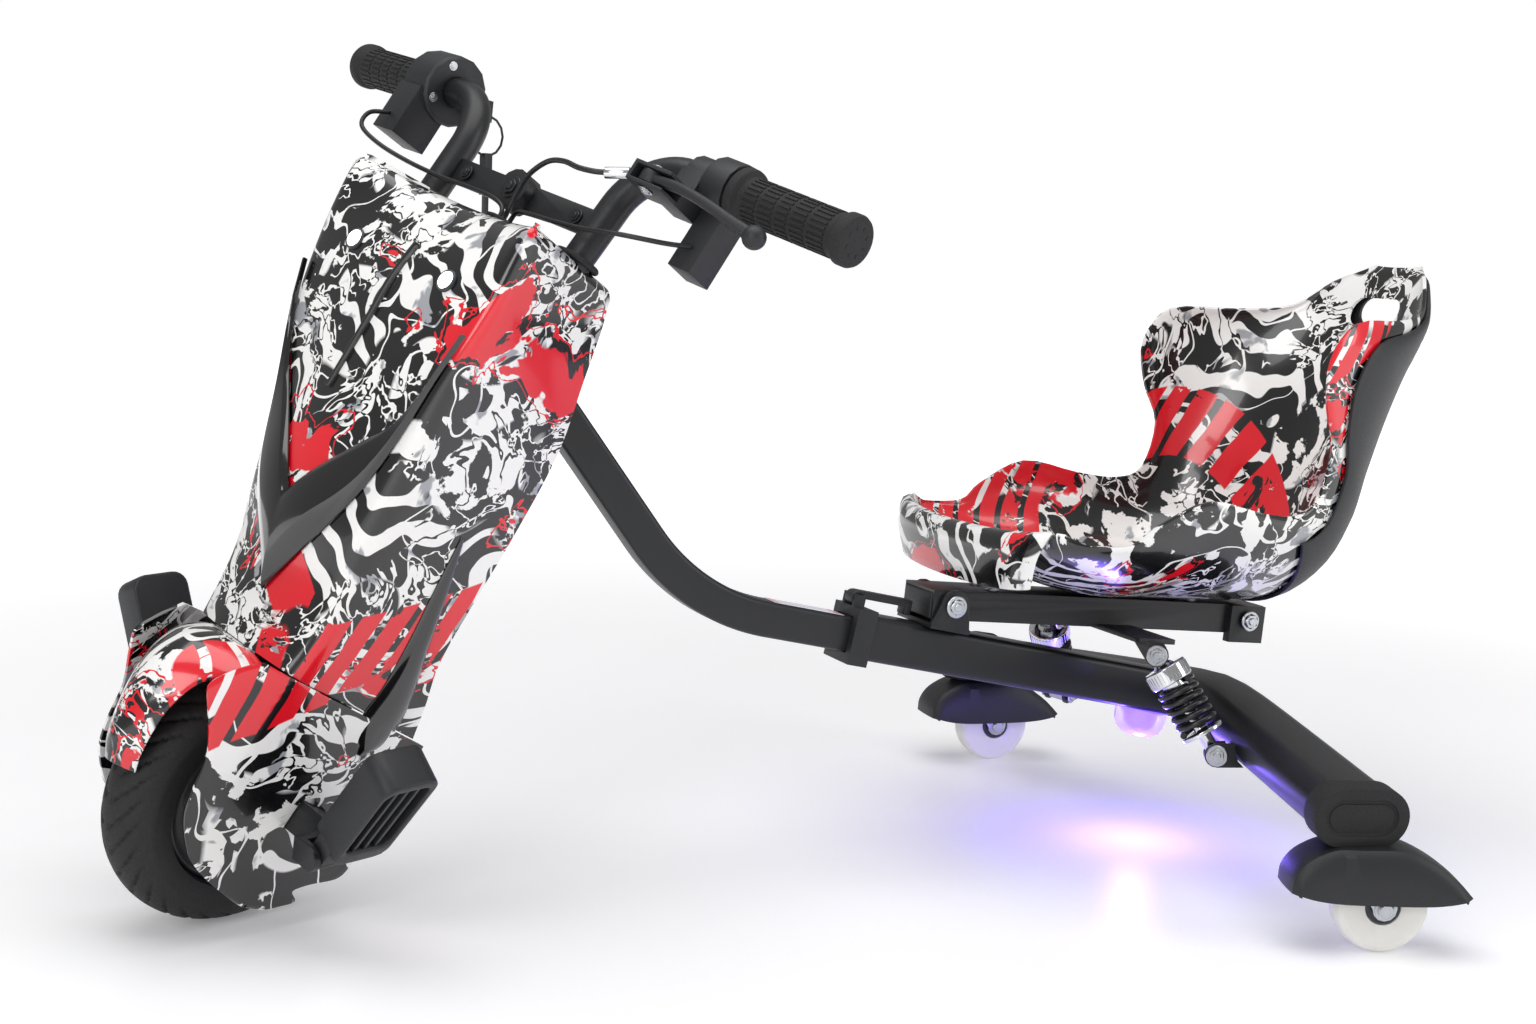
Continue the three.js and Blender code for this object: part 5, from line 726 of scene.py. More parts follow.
# Bucket seat: one moulded shell with the printed film under a clear coat, rolled at its rim,
# and a plain black shell behind it. The print is a made up mix of blots, strokes, shards and slabs.
def printed(name, spin, shift):
    """Film print in black, white, grey and red. Scales are repeats a metre."""
    material, tree, shader, place = finish(name, "print", "#0b0b0d", 0.22, clear=0.7)

    def noise(vector, scale, detail, **more):
        sockets = {"Vector": vector, "Scale": scale, "Detail": detail, **more}
        return add(tree, "ShaderNodeTexNoise", sockets).outputs[0]

    def shifted(vector, step):
        return add(tree, "ShaderNodeVectorMath", {0: vector, 1: step}).outputs[0]

    def painted(share, under, over):
        sockets = {0: share, 6: under, 7: over}
        return add(tree, "ShaderNodeMix", sockets, data_type="RGBA").outputs[2]

    ground = add(tree, "ShaderNodeMapping",
                 {"Vector": place, "Location": shift, "Rotation": spin}).outputs[0]
    sway = add(tree, "ShaderNodeTexNoise",
               {"Vector": ground, "Scale": 11.0, "Detail": 2.0}).outputs["Color"]
    swayed = add(tree, "ShaderNodeVectorMath",
                 {0: sway, 1: (0.09, 0.09, 0.09), 2: ground}, operation="MULTIPLY_ADD").outputs[0]
    # Torn blots, 10 to 50 mm across, with ragged edges.
    blots = noise(swayed, 26.0, 7.0, Roughness=0.56)
    blot = cut(tree, blots, 0.53, 0.538)
    # Long combed strokes, 4 to 8 mm wide.
    strokes = add(tree, "ShaderNodeTexWave",
                  {"Vector": swayed, "Scale": 16.0, "Distortion": 7.0, "Detail": 2.0, "Detail Scale": 0.9,
                   "Phase Offset": 1.3}, bands_direction="DIAGONAL")
    stroke = cut(tree, strokes.outputs[1], 0.6, 0.65)
    # Angular shards, 12 to 20 mm across.
    shards = add(tree, "ShaderNodeTexVoronoi", {"Vector": swayed, "Scale": 62.0, "Randomness": 0.85},
                 distance="CHEBYCHEV")
    shard = cut(tree, add(tree, "ShaderNodeSeparateColor", {0: shards.outputs["Color"]}).outputs[0],
        0.62, 0.63)
    # Where each of the three lies.
    zones = noise(ground, 9.0, 1.0)
    combed, broken = cut(tree, zones, 0.505, 0.515), cut(tree, zones, 0.405, 0.395)
    first = add(tree, "ShaderNodeMix", {0: combed, 2: blot, 3: stroke}).outputs[0]
    white = add(tree, "ShaderNodeMix", {0: broken, 2: first, 3: shard}).outputs[0]
    # Thin looping lines over the black.
    edge = worked(tree, "COMPARE", noise(swayed, 15.0, 1.0), 0.5, 0.007)
    lined = worked(tree, "MAXIMUM", white, edge)
    # Close scribbles that turn black to white and white to black, 1 to 2 mm thick, in patches.
    fine_line = worked(tree, "COMPARE", noise(swayed, 60.0, 2.0), 0.5, 0.022)
    patch = cut(tree, noise(shifted(ground, (0.4, 0.8, 0.2)), 13.0, 2.0), 0.52, 0.53)
    scribbled = worked(tree, "SUBTRACT", lined, worked(tree, "MULTIPLY", fine_line, patch))
    lined = worked(tree, "ABSOLUTE", scribbled)
    # White that turns grey here and there.
    pale = painted(cut(tree, noise(swayed, 34.0, 3.0), 0.6, 0.64), linear("#efeeec"), linear("#9a9ca1"))
    inked = painted(lined, linear("#0b0b0d"), pale)
    # Red: a slanting band cut into slabs, with worn edges, and loose blots with a ring round them.
    bands = add(tree, "ShaderNodeTexWave", {"Vector": ground, "Scale": 1.55, "Distortion": 0.35,
        "Phase Offset": 0.6}, bands_direction="DIAGONAL").outputs[1]
    slabs = add(tree, "ShaderNodeTexWave", {"Vector": ground, "Scale": 17.0, "Distortion": 1.2}).outputs[1]
    cut_band = worked(tree, "MULTIPLY", cut(tree, bands, 0.93, 0.935), cut(tree, slabs, 0.16, 0.2))
    worn_band = worked(tree, "MULTIPLY", cut_band, cut(tree, blots, 0.385, 0.395))
    spots = noise(shifted(swayed, (0.7, 0.3, 0.9)), 10.0, 5.0)
    ringed = worked(tree, "COMPARE", spots, 0.6, 0.004)
    loose = worked(tree, "MAXIMUM", cut(tree, spots, 0.63, 0.635), ringed)
    red = worked(tree, "MAXIMUM", worn_band, loose, clamp=True)
    tree.links.new(painted(red, inked, linear("#dd0f22")), shader.inputs["Base Color"])
    return material


seat_print = printed("printed_abs_seat", (0.2, 0.5, 0.1), (0.31, 0.12, 0.07))
# From front to back: the middle line's two shares of length and height, then the rim's shares of
# length, half width and height.
SEAT_STATIONS = (
    (-0.02, 0.075, -0.05, 0.7, 0.096), (-0.008, 0.175, -0.05, 0.77, 0.196),
    (-0.022, 0.225, -0.075, 0.83, 0.254), (-0.063, 0.15, -0.117, 0.931, 0.225),
    (-0.15, 0.068, -0.198, 0.952, 0.225), (-0.259, 0.015, -0.239, 0.966, 0.275),
    (-0.367, 0.0014, -0.335, 0.986, 0.343), (-0.476, -0.0104, -0.448, 0.966, 0.307),
    (-0.607, -0.012, -0.53, 0.897, 0.293), (-0.69, 0.079, -0.58, 0.869, 0.329),
    (-0.735, 0.204, -0.605, 0.869, 0.471), (-0.77, 0.346, -0.58, 0.903, 0.596),
    (-0.805, 0.489, -0.577, 0.924, 0.732), (-0.834, 0.614, -0.633, 0.897, 0.836),
    (-0.864, 0.721, -0.757, 0.745, 0.843), (-0.89, 0.811, -0.85, 0.586, 0.864),
    (-0.915, 0.9, -0.9, 0.428, 0.946), (-0.94, 0.989, -0.945, 0.331, 1.007))
SEAT_SIZE = (460, 145, 280)
SEAT_COLUMNS = 36
deep, half_wide, high = SEAT_SIZE
centres = curve_points([(a * deep, 0, b * high) for a, b, c, d, e in SEAT_STATIONS], 4)
rims = curve_points([(c * deep, d * half_wide, e * high) for a, b, c, d, e in SEAT_STATIONS], 4)
seat_rows = []
for i, (centre, rim) in enumerate(zip(centres, rims)):
    row = []
    past = max(0, i - len(centres) + 7) / 6
    rim = Vector((rim.x, rim.y * (1 - 0.4 * past ** 2.4), rim.z - 5 * past ** 2))
    for j in range(SEAT_COLUMNS + 1):
        across = 2 * j / SEAT_COLUMNS - 1
        lift = 1 - math.cos(abs(across) * math.pi / 2)
        row.append(Vector((centre.x + (rim.x - centre.x) * lift, math.sin(across * math.pi / 2) * rim.y,
                           centre.z + (rim.z - centre.z) * lift)))
    seat_rows.append(row)
seat = trike @ at(*SEAT_PIVOT)
slot_x, slot_z = SEAT_STATIONS[15][0] * deep, SEAT_STATIONS[15][1] * high
slot_cut = swept([(slot_x - 90, 0, slot_z + 12), (slot_x + 90, 0, slot_z + 12)], ring(12, 28, 20),
    (0, 1, 0))
made("seat_bucket", shell(seat_rows, offset(seat_rows, 3.0)), seat, seat_print, "seat",
     ["seat_shell"], cuts=[slot_cut], bevel=0.8, sharp=50)
back_rows = [row[3:-3] for row in seat_rows[32:]]
last = len(back_rows) - 1
half = (len(back_rows[0]) - 1) / 2


def bulge(i, j):
    side = abs(j - half) / half
    return 10 * max(0.0, 1 - side ** 2) * min(1.0, i / 8, (last - i) / 8)


made("seat_back_cover", shell(offset(back_rows, lambda i, j: -1.2 - bulge(i, j)),
                              offset(back_rows, lambda i, j: -3.7 - bulge(i, j))),
     seat, nylon, "seat", ["seat_back_shell"], cuts=[slot_cut], bevel=0.6, sharp=50)

# Lamp under the beam: a violet dome lens, partly clear and faintly lit. A small violet light
# below it tints the floor.
violet, tree, shader, place = finish("violet_lamp_lens", "lamp_violet", "#8f7bf0", 0.12, ior=1.49)
shader.inputs["Emission Color"].default_value = linear("#7a5cff")
shader.inputs["Emission Strength"].default_value = 1.6
shader.inputs["Transmission Weight"].default_value = 0.4
grained(tree, shader, place, 2.0, 0.05, (0.08, 0.2))
lamp_x = (16 - MOUTH[0]) / math.cos(slope)
dome = [(0, 18.3), (22, 18.3), (22, 24), (21.2, 30), (18.6, 36), (13.6, 40), (7, 41.8), (0, 42.2)]
made("floor_lamp", lathed(dome, 48),
     beam @ at(lamp_x, 0, 0) @ turn("X", 90) @ Matrix.Diagonal((1, -1, 1, 1)), violet,
     "rear_frame", ["under_lamp"])
glow = bpy.data.lights.new("lamp_glow", "POINT")
glow.color = linear("#7a5cff")[:3]
glow.energy = 0.9
glow.shadow_soft_size = 0.01
glow_place = placed("lamp_glow", glow)
glow_place.location = trike @ Vector((22, 0, 62))

# Front wheel: an air filled tyre of 192 mm with curved grooves cut into its tread, on a black
# cast motor hub. The motor's lids are screwed on round the axle.
steering = head @ turn("Z", STEERED)
# Tyre rubber: black, a shade glossier than the grips.
tyre_rubber = coated("tyre_rubber", "tyre", "#191919", 0.72, 1.0, 0.06, (0.58, 0.78),
    ("#161617", "#1f1f20"), 30.0)
TYRE_STEPS = 300
GROOVES = (0.16, 1.12)
tyre_section = []
for i in range(45):
    angle = math.radians(-105 + 210 * i / 44)
    tyre_section.append((TYRE_MIDDLE + TYRE_SECTION * math.cos(angle),
                         TYRE_SECTION * math.sin(angle), angle))
tyre_points, tyre_faces = [], []
for k in range(TYRE_STEPS):
    around = 2 * math.pi * k / TYRE_STEPS
    for r, y, angle in tyre_section:
        # 30 curved grooves round each shoulder, 1.7 mm deep, and a shallow one on each side of the middle.
        sweep = math.copysign(1, y) * 0.5 + around * 15 / math.pi - 2.2 * abs(angle) ** 1.3 * 0.75
        groove = abs((sweep % 1.0) - 0.5)
        inside = max(0.0, 1 - groove / 0.13) if GROOVES[0] < abs(angle) < GROOVES[1] else 0.0
        inside = min(1.0, inside * 2.2)
        centre_cut = 0.8 if abs(abs(angle) - 0.13) < 0.035 else 0.0
        cut_deep = 1.7 * max(inside * min(1.0, (GROOVES[1] - abs(angle)) * 5), centre_cut * 0.7)
        sidewall_ring = 0.5 if 1.28 < abs(angle) < 1.36 else 0.0
        out = -cut_deep + sidewall_ring
        tyre_points.append(Vector(((r + out * math.cos(angle)) * math.cos(around),
            y + out * math.sin(angle), (r + out * math.cos(angle)) * math.sin(around))))
ring_count = len(tyre_section)
inner_section = [(60.4, 20), (60.4, 15), (70, 18), (80, 14), (88, 0), (80, -14), (70, -18), (60.4, -15),
                 (60.4, -20)]
start = len(tyre_points)
for k in range(TYRE_STEPS):
    around = 2 * math.pi * k / TYRE_STEPS
    tyre_points += [Vector((r * math.cos(around), y, r * math.sin(around))) for r, y in inner_section]
inner_count = len(inner_section)
for k in range(TYRE_STEPS):
    n = (k + 1) % TYRE_STEPS
    here, there = k * ring_count, n * ring_count
    a, b = start + k * inner_count, start + n * inner_count
    tyre_faces += [(here + j, here + j + 1, there + j + 1, there + j) for j in range(ring_count - 1)]
    tyre_faces += [(a + j, a + j + 1, b + j + 1, b + j) for j in range(inner_count - 1)]
    tyre_faces.append((here + ring_count - 1, a, b, there + ring_count - 1))
    tyre_faces.append((a + inner_count - 1, here, there, b + inner_count - 1))
made("tyre", (tyre_points, tyre_faces), steering, tyre_rubber, "front_wheel", ["front_tyre"], sharp=32)
# Painted casting: black with a slight lacquer over a rough skin.
cast = coated("painted_cast_aluminium", "black_plastic", "#18191b", 0.4, 1.2, 0.06, (0.32, 0.5),
    ("#151618", "#202124"), 30.0, clear=0.2)
hub_side = [(6.5, 26), (20, 26), (22, 25), (26, 21), (46, 17), (50, 18), (54, 20.4), (57.5, 21), (60, 20)]
made("motor_hub", lathed(hub_side + [(r, -y) for r, y in reversed(hub_side)], 96), steering, cast,
    "front_wheel", ["hub_motor"], bevel=0.4, sharp=25)
for name, side in SIDES:
    screws = [(38 * math.cos(a), side * 19.4, 38 * math.sin(a))
              for a in (i * math.pi / 4 for i in range(8))]
    bolted(f"motor_screws_{name}", screws, 3.2, 2.0, (90, 0, 0), steering, "front_wheel")
refined("front_axle", zinc, "steering", bevel=0.5)
refined("steering_fork", powder_coat, "steering", bevel=0.8)
# Shrink wrap: blue film with soft wrinkles, seen from behind only.
wrap = coated("shrink_wrap", "battery_case", "#1f3d6e", 0.35, 5.0, 0.2, (0.28, 0.45),
    ("#1b3560", "#27497f"), 30.0)
refined("battery_pack", wrap, "steering", bevel=4.0, steps=4)
# Bare aluminium: a mid grey metal on the controller's case.
extruded = coated("extruded_aluminium", "controller_case", "#a9abae", 0.38, 1.5, 0.03, (0.3, 0.45),
    metallic=1.0)
refined("motor_controller", extruded, "steering", bevel=1.5, steps=3)

# Handlebar: one bent steel tube of 22.2 mm through the stem's clamp, with a flat brace between
# its uprights and a bolted strap down to the body.
bar_points = [(47, -275, 520), (64, -90, 520), (70, -87, 408), (70, 87, 408), (64, 90, 520),
              (47, 275, 520)]
made("bent_handlebar", swept(bent(bar_points, [42, 24, 24, 42], 14), ring(11.1, 40)), steering,
     powder_coat, "steering", ["handlebar"])
refined("handlebar_brace", powder_coat, "steering", bevel=1.0, steps=3)
BRACE_S = 462
brace_n = 70 - 6 * (BRACE_S - 408) / 112
bolted("brace_bolt", [(brace_n + 13, 0, BRACE_S)], 6.4, 5, (0, 90, 0), steering, "steering", powder_coat)
bolted("brace_end_bolts", [(brace_n + 3.8, y, BRACE_S) for y in (-64, 64)], 4.4, 3, (0, 90, 0), steering,
       "steering", powder_coat)

# Rubber grips with a flange and raised ribs in bands; the right one is the throttle.
slant = math.degrees(math.atan2(17, 185))
bars = {"left": steering @ at(47, 275, 520) @ turn("Z", slant),
        "right": steering @ at(47, -275, 520) @ turn("Z", -slant)}
GRIP = [(14.5, 3), (16.6, 2.6), (17.6, 0.4), (17.6, -5.5), (16.2, -7.6), (15.0, -9), (14.9, -86),
        (16, -89), (19.4, -91), (20, -93), (20, -97), (19, -98), (11.6, -98)]
for name, side, node, body in (("left", 1, "left_grip", "steering"),
        ("right", -1, "throttle_grip", "throttle")):
    profile = [(0, 3.4), (12, 3.4), *GRIP, (11.6, -3), (0, -3)]
    if side < 0:
        profile = [(r, y * side) for r, y in profile]
    made(f"grip_{name}", lathed(profile, 56), bars[name], rubber, body, [node], bevel=0.3, sharp=30)
    along = bars[name] @ turn("X", -90)
    for k, (start, length) in enumerate(((-20, 14), (-36, 12), (-50, 10), (-64, 12), (-79, 12))):
        ridged(f"grip_ribs_{name}_{k}", 26, 15.1, (1.3, 1.7, length), along @ at(0, 0, side * start),
               rubber, body)
    ridged(f"grip_end_dots_{name}", 8, 9.5, (2.2, 2.2, 0.8), along @ at(0, 0, side * 3.3), rubber, body)
made("throttle_band", lathed([(11.7, 98.6), (19.6, 98.6), (20.6, 99.2), (20.6, 101.4), (11.7, 101.4)], 48),
     bars["right"], chrome, "steering", bevel=0.2)

# Hand controls in moulded nylon: switch box with its horn button on the left, brake perch and
# lever next to it, and the throttle housing with the key lock on the right.
refined("switch_box", nylon, "steering", bevel=1.4, steps=3)
refined("horn_button", rubber, "horn_button", bevel=0.8, steps=3)
refined("brake_perch", nylon, "steering", bevel=0.9, steps=3)
pivot = Vector((37, -139, -23))
tip = Vector((35, -41, -32))
blade_route = curve_points([pivot, (40, -128, -23), (44, -107, -23.5), (43, -82, -26), (39, -58, -30),
    tip], 8)
blade_sizes = [1.05 - 0.25 * math.sin(math.pi * min(1, i / (len(blade_route) - 1) * 1.1)) for i in
               range(len(blade_route))]
blade_ring = [(5.0 * math.cos(a) * abs(math.cos(a)) ** -0.3,
               4.2 * math.sin(a) * abs(math.sin(a) + 1e-6) ** -0.3)
              for a in (2 * math.pi * (i + 0.5) / 24 for i in range(24))]
made("lever_blade", swept(blade_route, blade_ring, (1, 0, 0), blade_sizes), bars["left"], nylon,
    "brake_lever", ["brake_lever"], bevel=0.4)
arc = [math.radians(-80 + 16 * i) for i in range(11)]
ball = [(0, -8), *((8 * math.cos(a), 8 * math.sin(a)) for a in arc), (0, 8)]
made("lever_ball", lathed(ball, 32), bars["left"] @ at(*tip), nylon, "brake_lever", sharp=60)
made("lever_hub", lathed(tube_wall(3.6, 8.4, 4.4), 32),
     bars["left"] @ at(*pivot) @ turn("X", 90), nylon, "brake_lever", bevel=0.6)
bolted("lever_pivot_bolt", [pivot + Vector((0, 0, z)) for z in (8.4, -8.4)], 4.0, 2.6, (0, 0, 0),
    bars["left"], "steering")
made("brake_ferrule", swept([(40, -156, -25.2), (45.5, -170, -33)], ring(3.9, 24)), bars["left"], chrome,
     "steering", bevel=0.4)
refined("throttle_housing", nylon, "steering", bevel=1.2, steps=3)
made("throttle_lock_face", lathed([(3.6, 132.6), (10.6, 132.6), (10.6, 133.7), (9.6, 134.4),
    (3.6, 134.4)], 40), bars["right"] @ at(-19.44, 0, 0), chrome, "steering", bevel=0.15)
bolted("throttle_screws", [(14, 133.4, 14), (14, 133.4, -14)], 2.6, 1.6, (90, 0, 0), bars["right"],
    "steering")
refined("ignition_key", nylon, "ignition_key", bevel=0.7, steps=3)
refined("spare_key", nylon, "spare_key", bevel=0.4, steps=2)

# Bodywork: a blow moulded shield with rounded corners and a domed roof, held by the fork's
# tabs. It carries the same made up print as the seat.
body_print = printed("printed_abs_body", (0.15, math.radians(32), math.radians(-25)), (0.52, 0.23, 0.4))
SHIELD = (
    (0, 0.58, 0.49, 0.585, -0.44, 0.65), (0.07, 0.56, 0.5, 0.61, -0.36, 0.69),
    (0.165, 0.61, 0.535, 0.63, -0.25, 0.725), (0.315, 0.78, 0.63, 0.715, -0.19, 0.77),
    (0.47, 0.86, 0.74, 0.8, -0.155, 0.8), (0.665, 0.94, 0.905, 0.92, -0.065, 0.855),
    (0.825, 1, 0.975, 1, 0.1, 0.9), (0.93, 0.95, 1.03, 1, 0.22, 0.94), (1, 0.85, 1.05, 1, 0.3, 0.945))
SHIELD_LOW, SHIELD_HIGH, SHIELD_DEEP, SHIELD_HALF = 97, 432, 127, 106
# How far from its front corner the outline starts to turn, in mm.
CORNER_CUT = 12


def shield_at(s):
    """The nose, front corner and back edge of the shield at a height, along smooth curves."""
    share = min(1.0, max(0.0, (s - SHIELD_LOW) / (SHIELD_HIGH - SHIELD_LOW)))
    i = 0
    while i < len(SHIELD) - 2 and SHIELD[i + 1][0] < share:
        i += 1
    low, high = SHIELD[i], SHIELD[i + 1]
    mix = (share - low[0]) / (high[0] - low[0])
    before, after = SHIELD[max(i - 1, 0)], SHIELD[min(i + 2, len(SHIELD) - 1)]
    values = []
    for k in range(1, 6):
        rate_low = (high[k] - before[k]) / (high[0] - before[0])
        rate_high = (after[k] - low[k]) / (after[0] - low[0])
        width = high[0] - low[0]
        a, b = low[k], high[k]
        two, three = mix ** 2, mix ** 3
        values.append((2 * three - 3 * two + 1) * a + (three - 2 * two + mix) * width * rate_low
                      + (3 * two - 2 * three) * b + (three - two) * width * rate_high)
    return (values[0] * SHIELD_DEEP, Vector((values[1] * SHIELD_DEEP, values[2] * SHIELD_HALF)),
            Vector((values[3] * SHIELD_DEEP, values[4] * SHIELD_HALF)))


def shield_front(s, y):
    nose, corner, back = shield_at(s)
    return nose - (nose - corner.x) * (y / corner.y) ** 2


def shield_outline(s, inset):
    nose, corner, back = shield_at(s)
    half = []
    for i in range(12):
        y = i / 12 * (corner.y - CORNER_CUT)
        half.append(Vector((shield_front(s, y), y)))
    start = Vector((shield_front(s, corner.y - CORNER_CUT), corner.y - CORNER_CUT))
    end = corner + (back - corner).normalized() * CORNER_CUT
    for i in range(9):
        t = i / 8
        half.append(start * (1 - t) ** 2 + corner * 2 * t * (1 - t) + end * t * t)
    for i in range(1, 9):
        half.append(end + (back - end) * i / 8)
    if inset:
        shrunk = []
        for i, point in enumerate(half):
            along = half[min(i + 1, len(half) - 1)] - half[max(i - 1, 0)]
            away = Vector((along.y, -along.x)).normalized() * inset
            shrunk.append(Vector((point.x - away.x, max(0.0, point.y - away.y))))
        half = shrunk
    return half


shield_rows = []
ROOF = 9.0
levels = [(SHIELD_LOW + (SHIELD_HIGH - ROOF - SHIELD_LOW) * i / 44, 0.0) for i in range(45)]
levels += [(SHIELD_HIGH - ROOF + ROOF * math.sin(a), ROOF * (1 - math.cos(a))) for a in
           (math.pi / 2 * i / 7 for i in range(1, 8))]
for s, inset in levels:
    half_row = shield_outline(min(s, SHIELD_HIGH), inset)
    shield_rows.append([Vector((p.x, -p.y, s)) for p in reversed(half_row[1:])]
                       + [Vector((p.x, p.y, s)) for p in half_row])
# The roof: the last row drawn in toward the middle of its back edge and domed by 3 mm.
edge_row = shield_rows[-1]
back_n = edge_row[0].x
for i in range(1, 15):
    left = 1 - i / 14.05
    shield_rows.append([Vector((back_n + (p.x - back_n) * left, p.y * left, p.z + 3.0 * (1 - left * left)))
                        for p in edge_row])
# The bar's uprights lean back by 6 mm and out by 3 mm over their 112 mm, and pass the roof 24 mm up.
upright_n, upright_y = 70 - 6 * 24 / 112, 87 + 3 * 24 / 112
holes = [swept([(upright_n, side * upright_y, 415), (upright_n, side * 87.8, 450)], ring(13.2, 40))
         for side in (1, -1)]
holes.append(swept([(87, 20.5, 415), (87, 20.5, 450)], ring(9, 28)))
made("shield", shell(shield_rows, offset(shield_rows, -2.4), True, False), steering, body_print,
    "steering", ["front_shield"], cuts=holes, sharp=42)
for name, side in SIDES:
    lip = [(r + 12.6, y) for r, y in ((0, 432.2), (3.8, 432.4), (4.6, 434), (3.6, 436), (0.4, 436.4))]
    made(f"bar_grommet_{name}", lathed(lip, 40), steering @ at(upright_n, side * 87.7, 0) @ STAND, rubber,
         "steering", bevel=0.5)
cord_lip = [(r + 8.4, y) for r, y in ((0, 433.6), (3, 433.8), (3.4, 435.4), (0.4, 436.6))]
made("cord_grommet", lathed(cord_lip, 36), steering @ at(87, 20.5, 0) @ STAND, rubber, "steering",
     bevel=0.4)

# Smoked black visor: two arms that meet in a pointed chin, polished, on the shield's front.
# One raised rib runs down to it, and a long black inlay lies along each side. All are a deep
# mirror black.
gloss = coated("polished_smoked_abs", "gloss_black", "#08080a", 0.12, 30.0, 0.1, (0.08, 0.16), clear=1.0)
# Across the visor, outer edge first: the share of its width and how far it stands out, in mm.
VISOR_SECTION = ((0, 1.5), (0.05, 3.5), (0.12, 5.6), (0.3, 8.2), (0.33, 8.4), (0.55, 7.6), (0.75, 6.6),
    (0.88, 5.4), (0.94, 3.6), (1, 1.2))


def visor_grid(base):
    rows = []
    for i in range(61):
        t = i / 30 - 1
        away = abs(t)
        outer_s = 135 + 88 * away + 122 * away ** 8
        inner_s = 203 + 88 * away + 56 * away ** 12
        row = []
        for share, proud in VISOR_SECTION:
            s = outer_s + (inner_s - outer_s) * share
            y = t * (shield_at(s)[1].y - 6)
            crown = 0.0 if base else proud * (1 - away * 0.5) + 0.4
            row.append(Vector((shield_front(s, y) + 1.2 + crown, y, s)))
        rows.append(row)
    return rows


made("visor", shell(visor_grid(False), visor_grid(True)), steering, gloss, "steering", ["visor_trim"],
     bevel=0.5, sharp=20)
rib_line = ((8, 389), (4.6, 362), (0, 332), (-4.4, 304), (-9, 276))
rib = curve_points([(shield_front(s, y) + 0.8, y, s) for y, s in rib_line], 8)
made("front_rib", swept(rib, [(3.0, -1.6), (1.6, 3.0), (-1.6, 3.0), (-3.0, -1.6)], (0, 1, 0),
                        [0.7 + 0.35 * (1 - i / (len(rib) - 1)) for i in range(len(rib))]),
     steering, gloss, "steering", bevel=0.5, sharp=30)


# The inlay's middle line, upper end first: place, half width and height.
INLAY_LINE = ((18.5, 236, 1.5), (11, 213, 4.4), (4.4, 193, 6.4), (-7, 157, 9), (-17.8, 121, 13.5),
    (-21.5, 98, 16), (-22, 84, 13), (-21.6, 74, 6), (-21, 70, 2.5))


def shield_side(n, s, out):
    """How far out the shield's flat side lies."""
    nose, corner, back = shield_at(s)
    mix = (corner.x - n) / (corner.x - back.x)
    return corner.y + (back.y - corner.y) * mix + out


for name, side in SIDES:
    upper, lower = [], []
    spine = curve_points([(n, half, s) for n, s, half in INLAY_LINE], 6)
    for proud, rows in ((True, upper), (False, lower)):
        for n, half, s in spine:
            row = []
            for k in (-1, -0.6, -0.2, 0.2, 0.6, 1):
                rise_out = 4.4 * (1 - k * k) * min(1, half / 8) if proud else -1.2
                base = shield_side(n + half * k, max(s, 97.5), 0.8)
                row.append(Vector((n + half * k, side * (base + rise_out), s)))
            rows.append(row)
    made(f"side_inlay_{name}", shell(upper, lower), steering, gloss, "steering", bevel=0.4, sharp=40)
lens, tree, shader, place = finish("white_lamp_lens", "lamp_white", "#ffffff", 0.1, ior=1.49)
shader.inputs["Emission Color"].default_value = linear("#ffffff")
shader.inputs["Emission Strength"].default_value = 6.0
grained(tree, shader, place, 2.0, 0.02, (0.05, 0.12))
for name, side in SIDES:
    n = shield_front(374, 55)
    front = steering @ at(n - 4, side * 55, 374) @ turn("Z", -90)
    made(f"lamp_{name}", lathed([(0, -6), (6.2, -6), (6.2, 5.2), (5.6, 6.6), (3.8, 7.6), (0, 8)], 36),
        front, lens, "steering", [f"headlight_{name}"], sharp=45)
    made(f"lamp_bezel_{name}", lathed([(6.3, 2), (8.2, 2), (8.0, 5.4), (7.2, 6.4), (6.3, 6)], 36), front,
        seal, "steering", bevel=0.3)

# Fender over the tyre, wheel covers with their small side lamps, and the foot pegs that fold
# up on black brackets. A peg is a rounded pad with a ribbed hollow, on a hinge barrel.
# Shares of the fender's reach forward and up, and of its half width, top first.
FENDER = ((0.555, 0.745, 0.84), (0.66, 0.715, 0.76), (0.78, 0.635, 0.63), (0.87, 0.5, 0.51),
    (0.905, 0.33, 0.43), (0.895, 0.15, 0.37), (0.86, 0, 0.32), (0.81, -0.1, 0.26))
FENDER_REACH, FENDER_HALF = 133, 0.585 * SHIELD_HALF
fender_line = curve_points([(n * FENDER_REACH, y * FENDER_HALF, s * FENDER_REACH)
                            for n, s, y in FENDER], 5)
fender_rows = []
for point in fender_line:
    inward = Vector((-point.x, 0, -point.z)).normalized()
    fender_rows.append([Vector((point.x, across * point.y, point.z)) + inward * 14 * across ** 2
                        for across in (j / 14 - 1 for j in range(29))])
fender_rows = [[p if p.z < 96.6 else Vector((p.x, p.y, 96.6)) for p in row] for row in fender_rows]
made("fender", shell(fender_rows, offset(fender_rows, 2.4)), steering, body_print, "steering",
     ["front_fender"], bevel=0.6, sharp=50)
# The cover's back and front edges and height, lowest first.
COVER_EDGES = ((-57, -12, -12), (-54, -30, 10), (-49, -40, 32), (-42, -50, 50), (-36, -43, 58),
    (-27, -54, 67), (-17, -72, 74.5), (-8, -77, 78), (4, -76.6, 81), (28, -74.4, 86), (51, -71.4, 100),
    (66, -69.6, 108), (78, -68, 101), (88, -66.8, 92), (96.3, -66, 82))
COVER_Y = 58.4
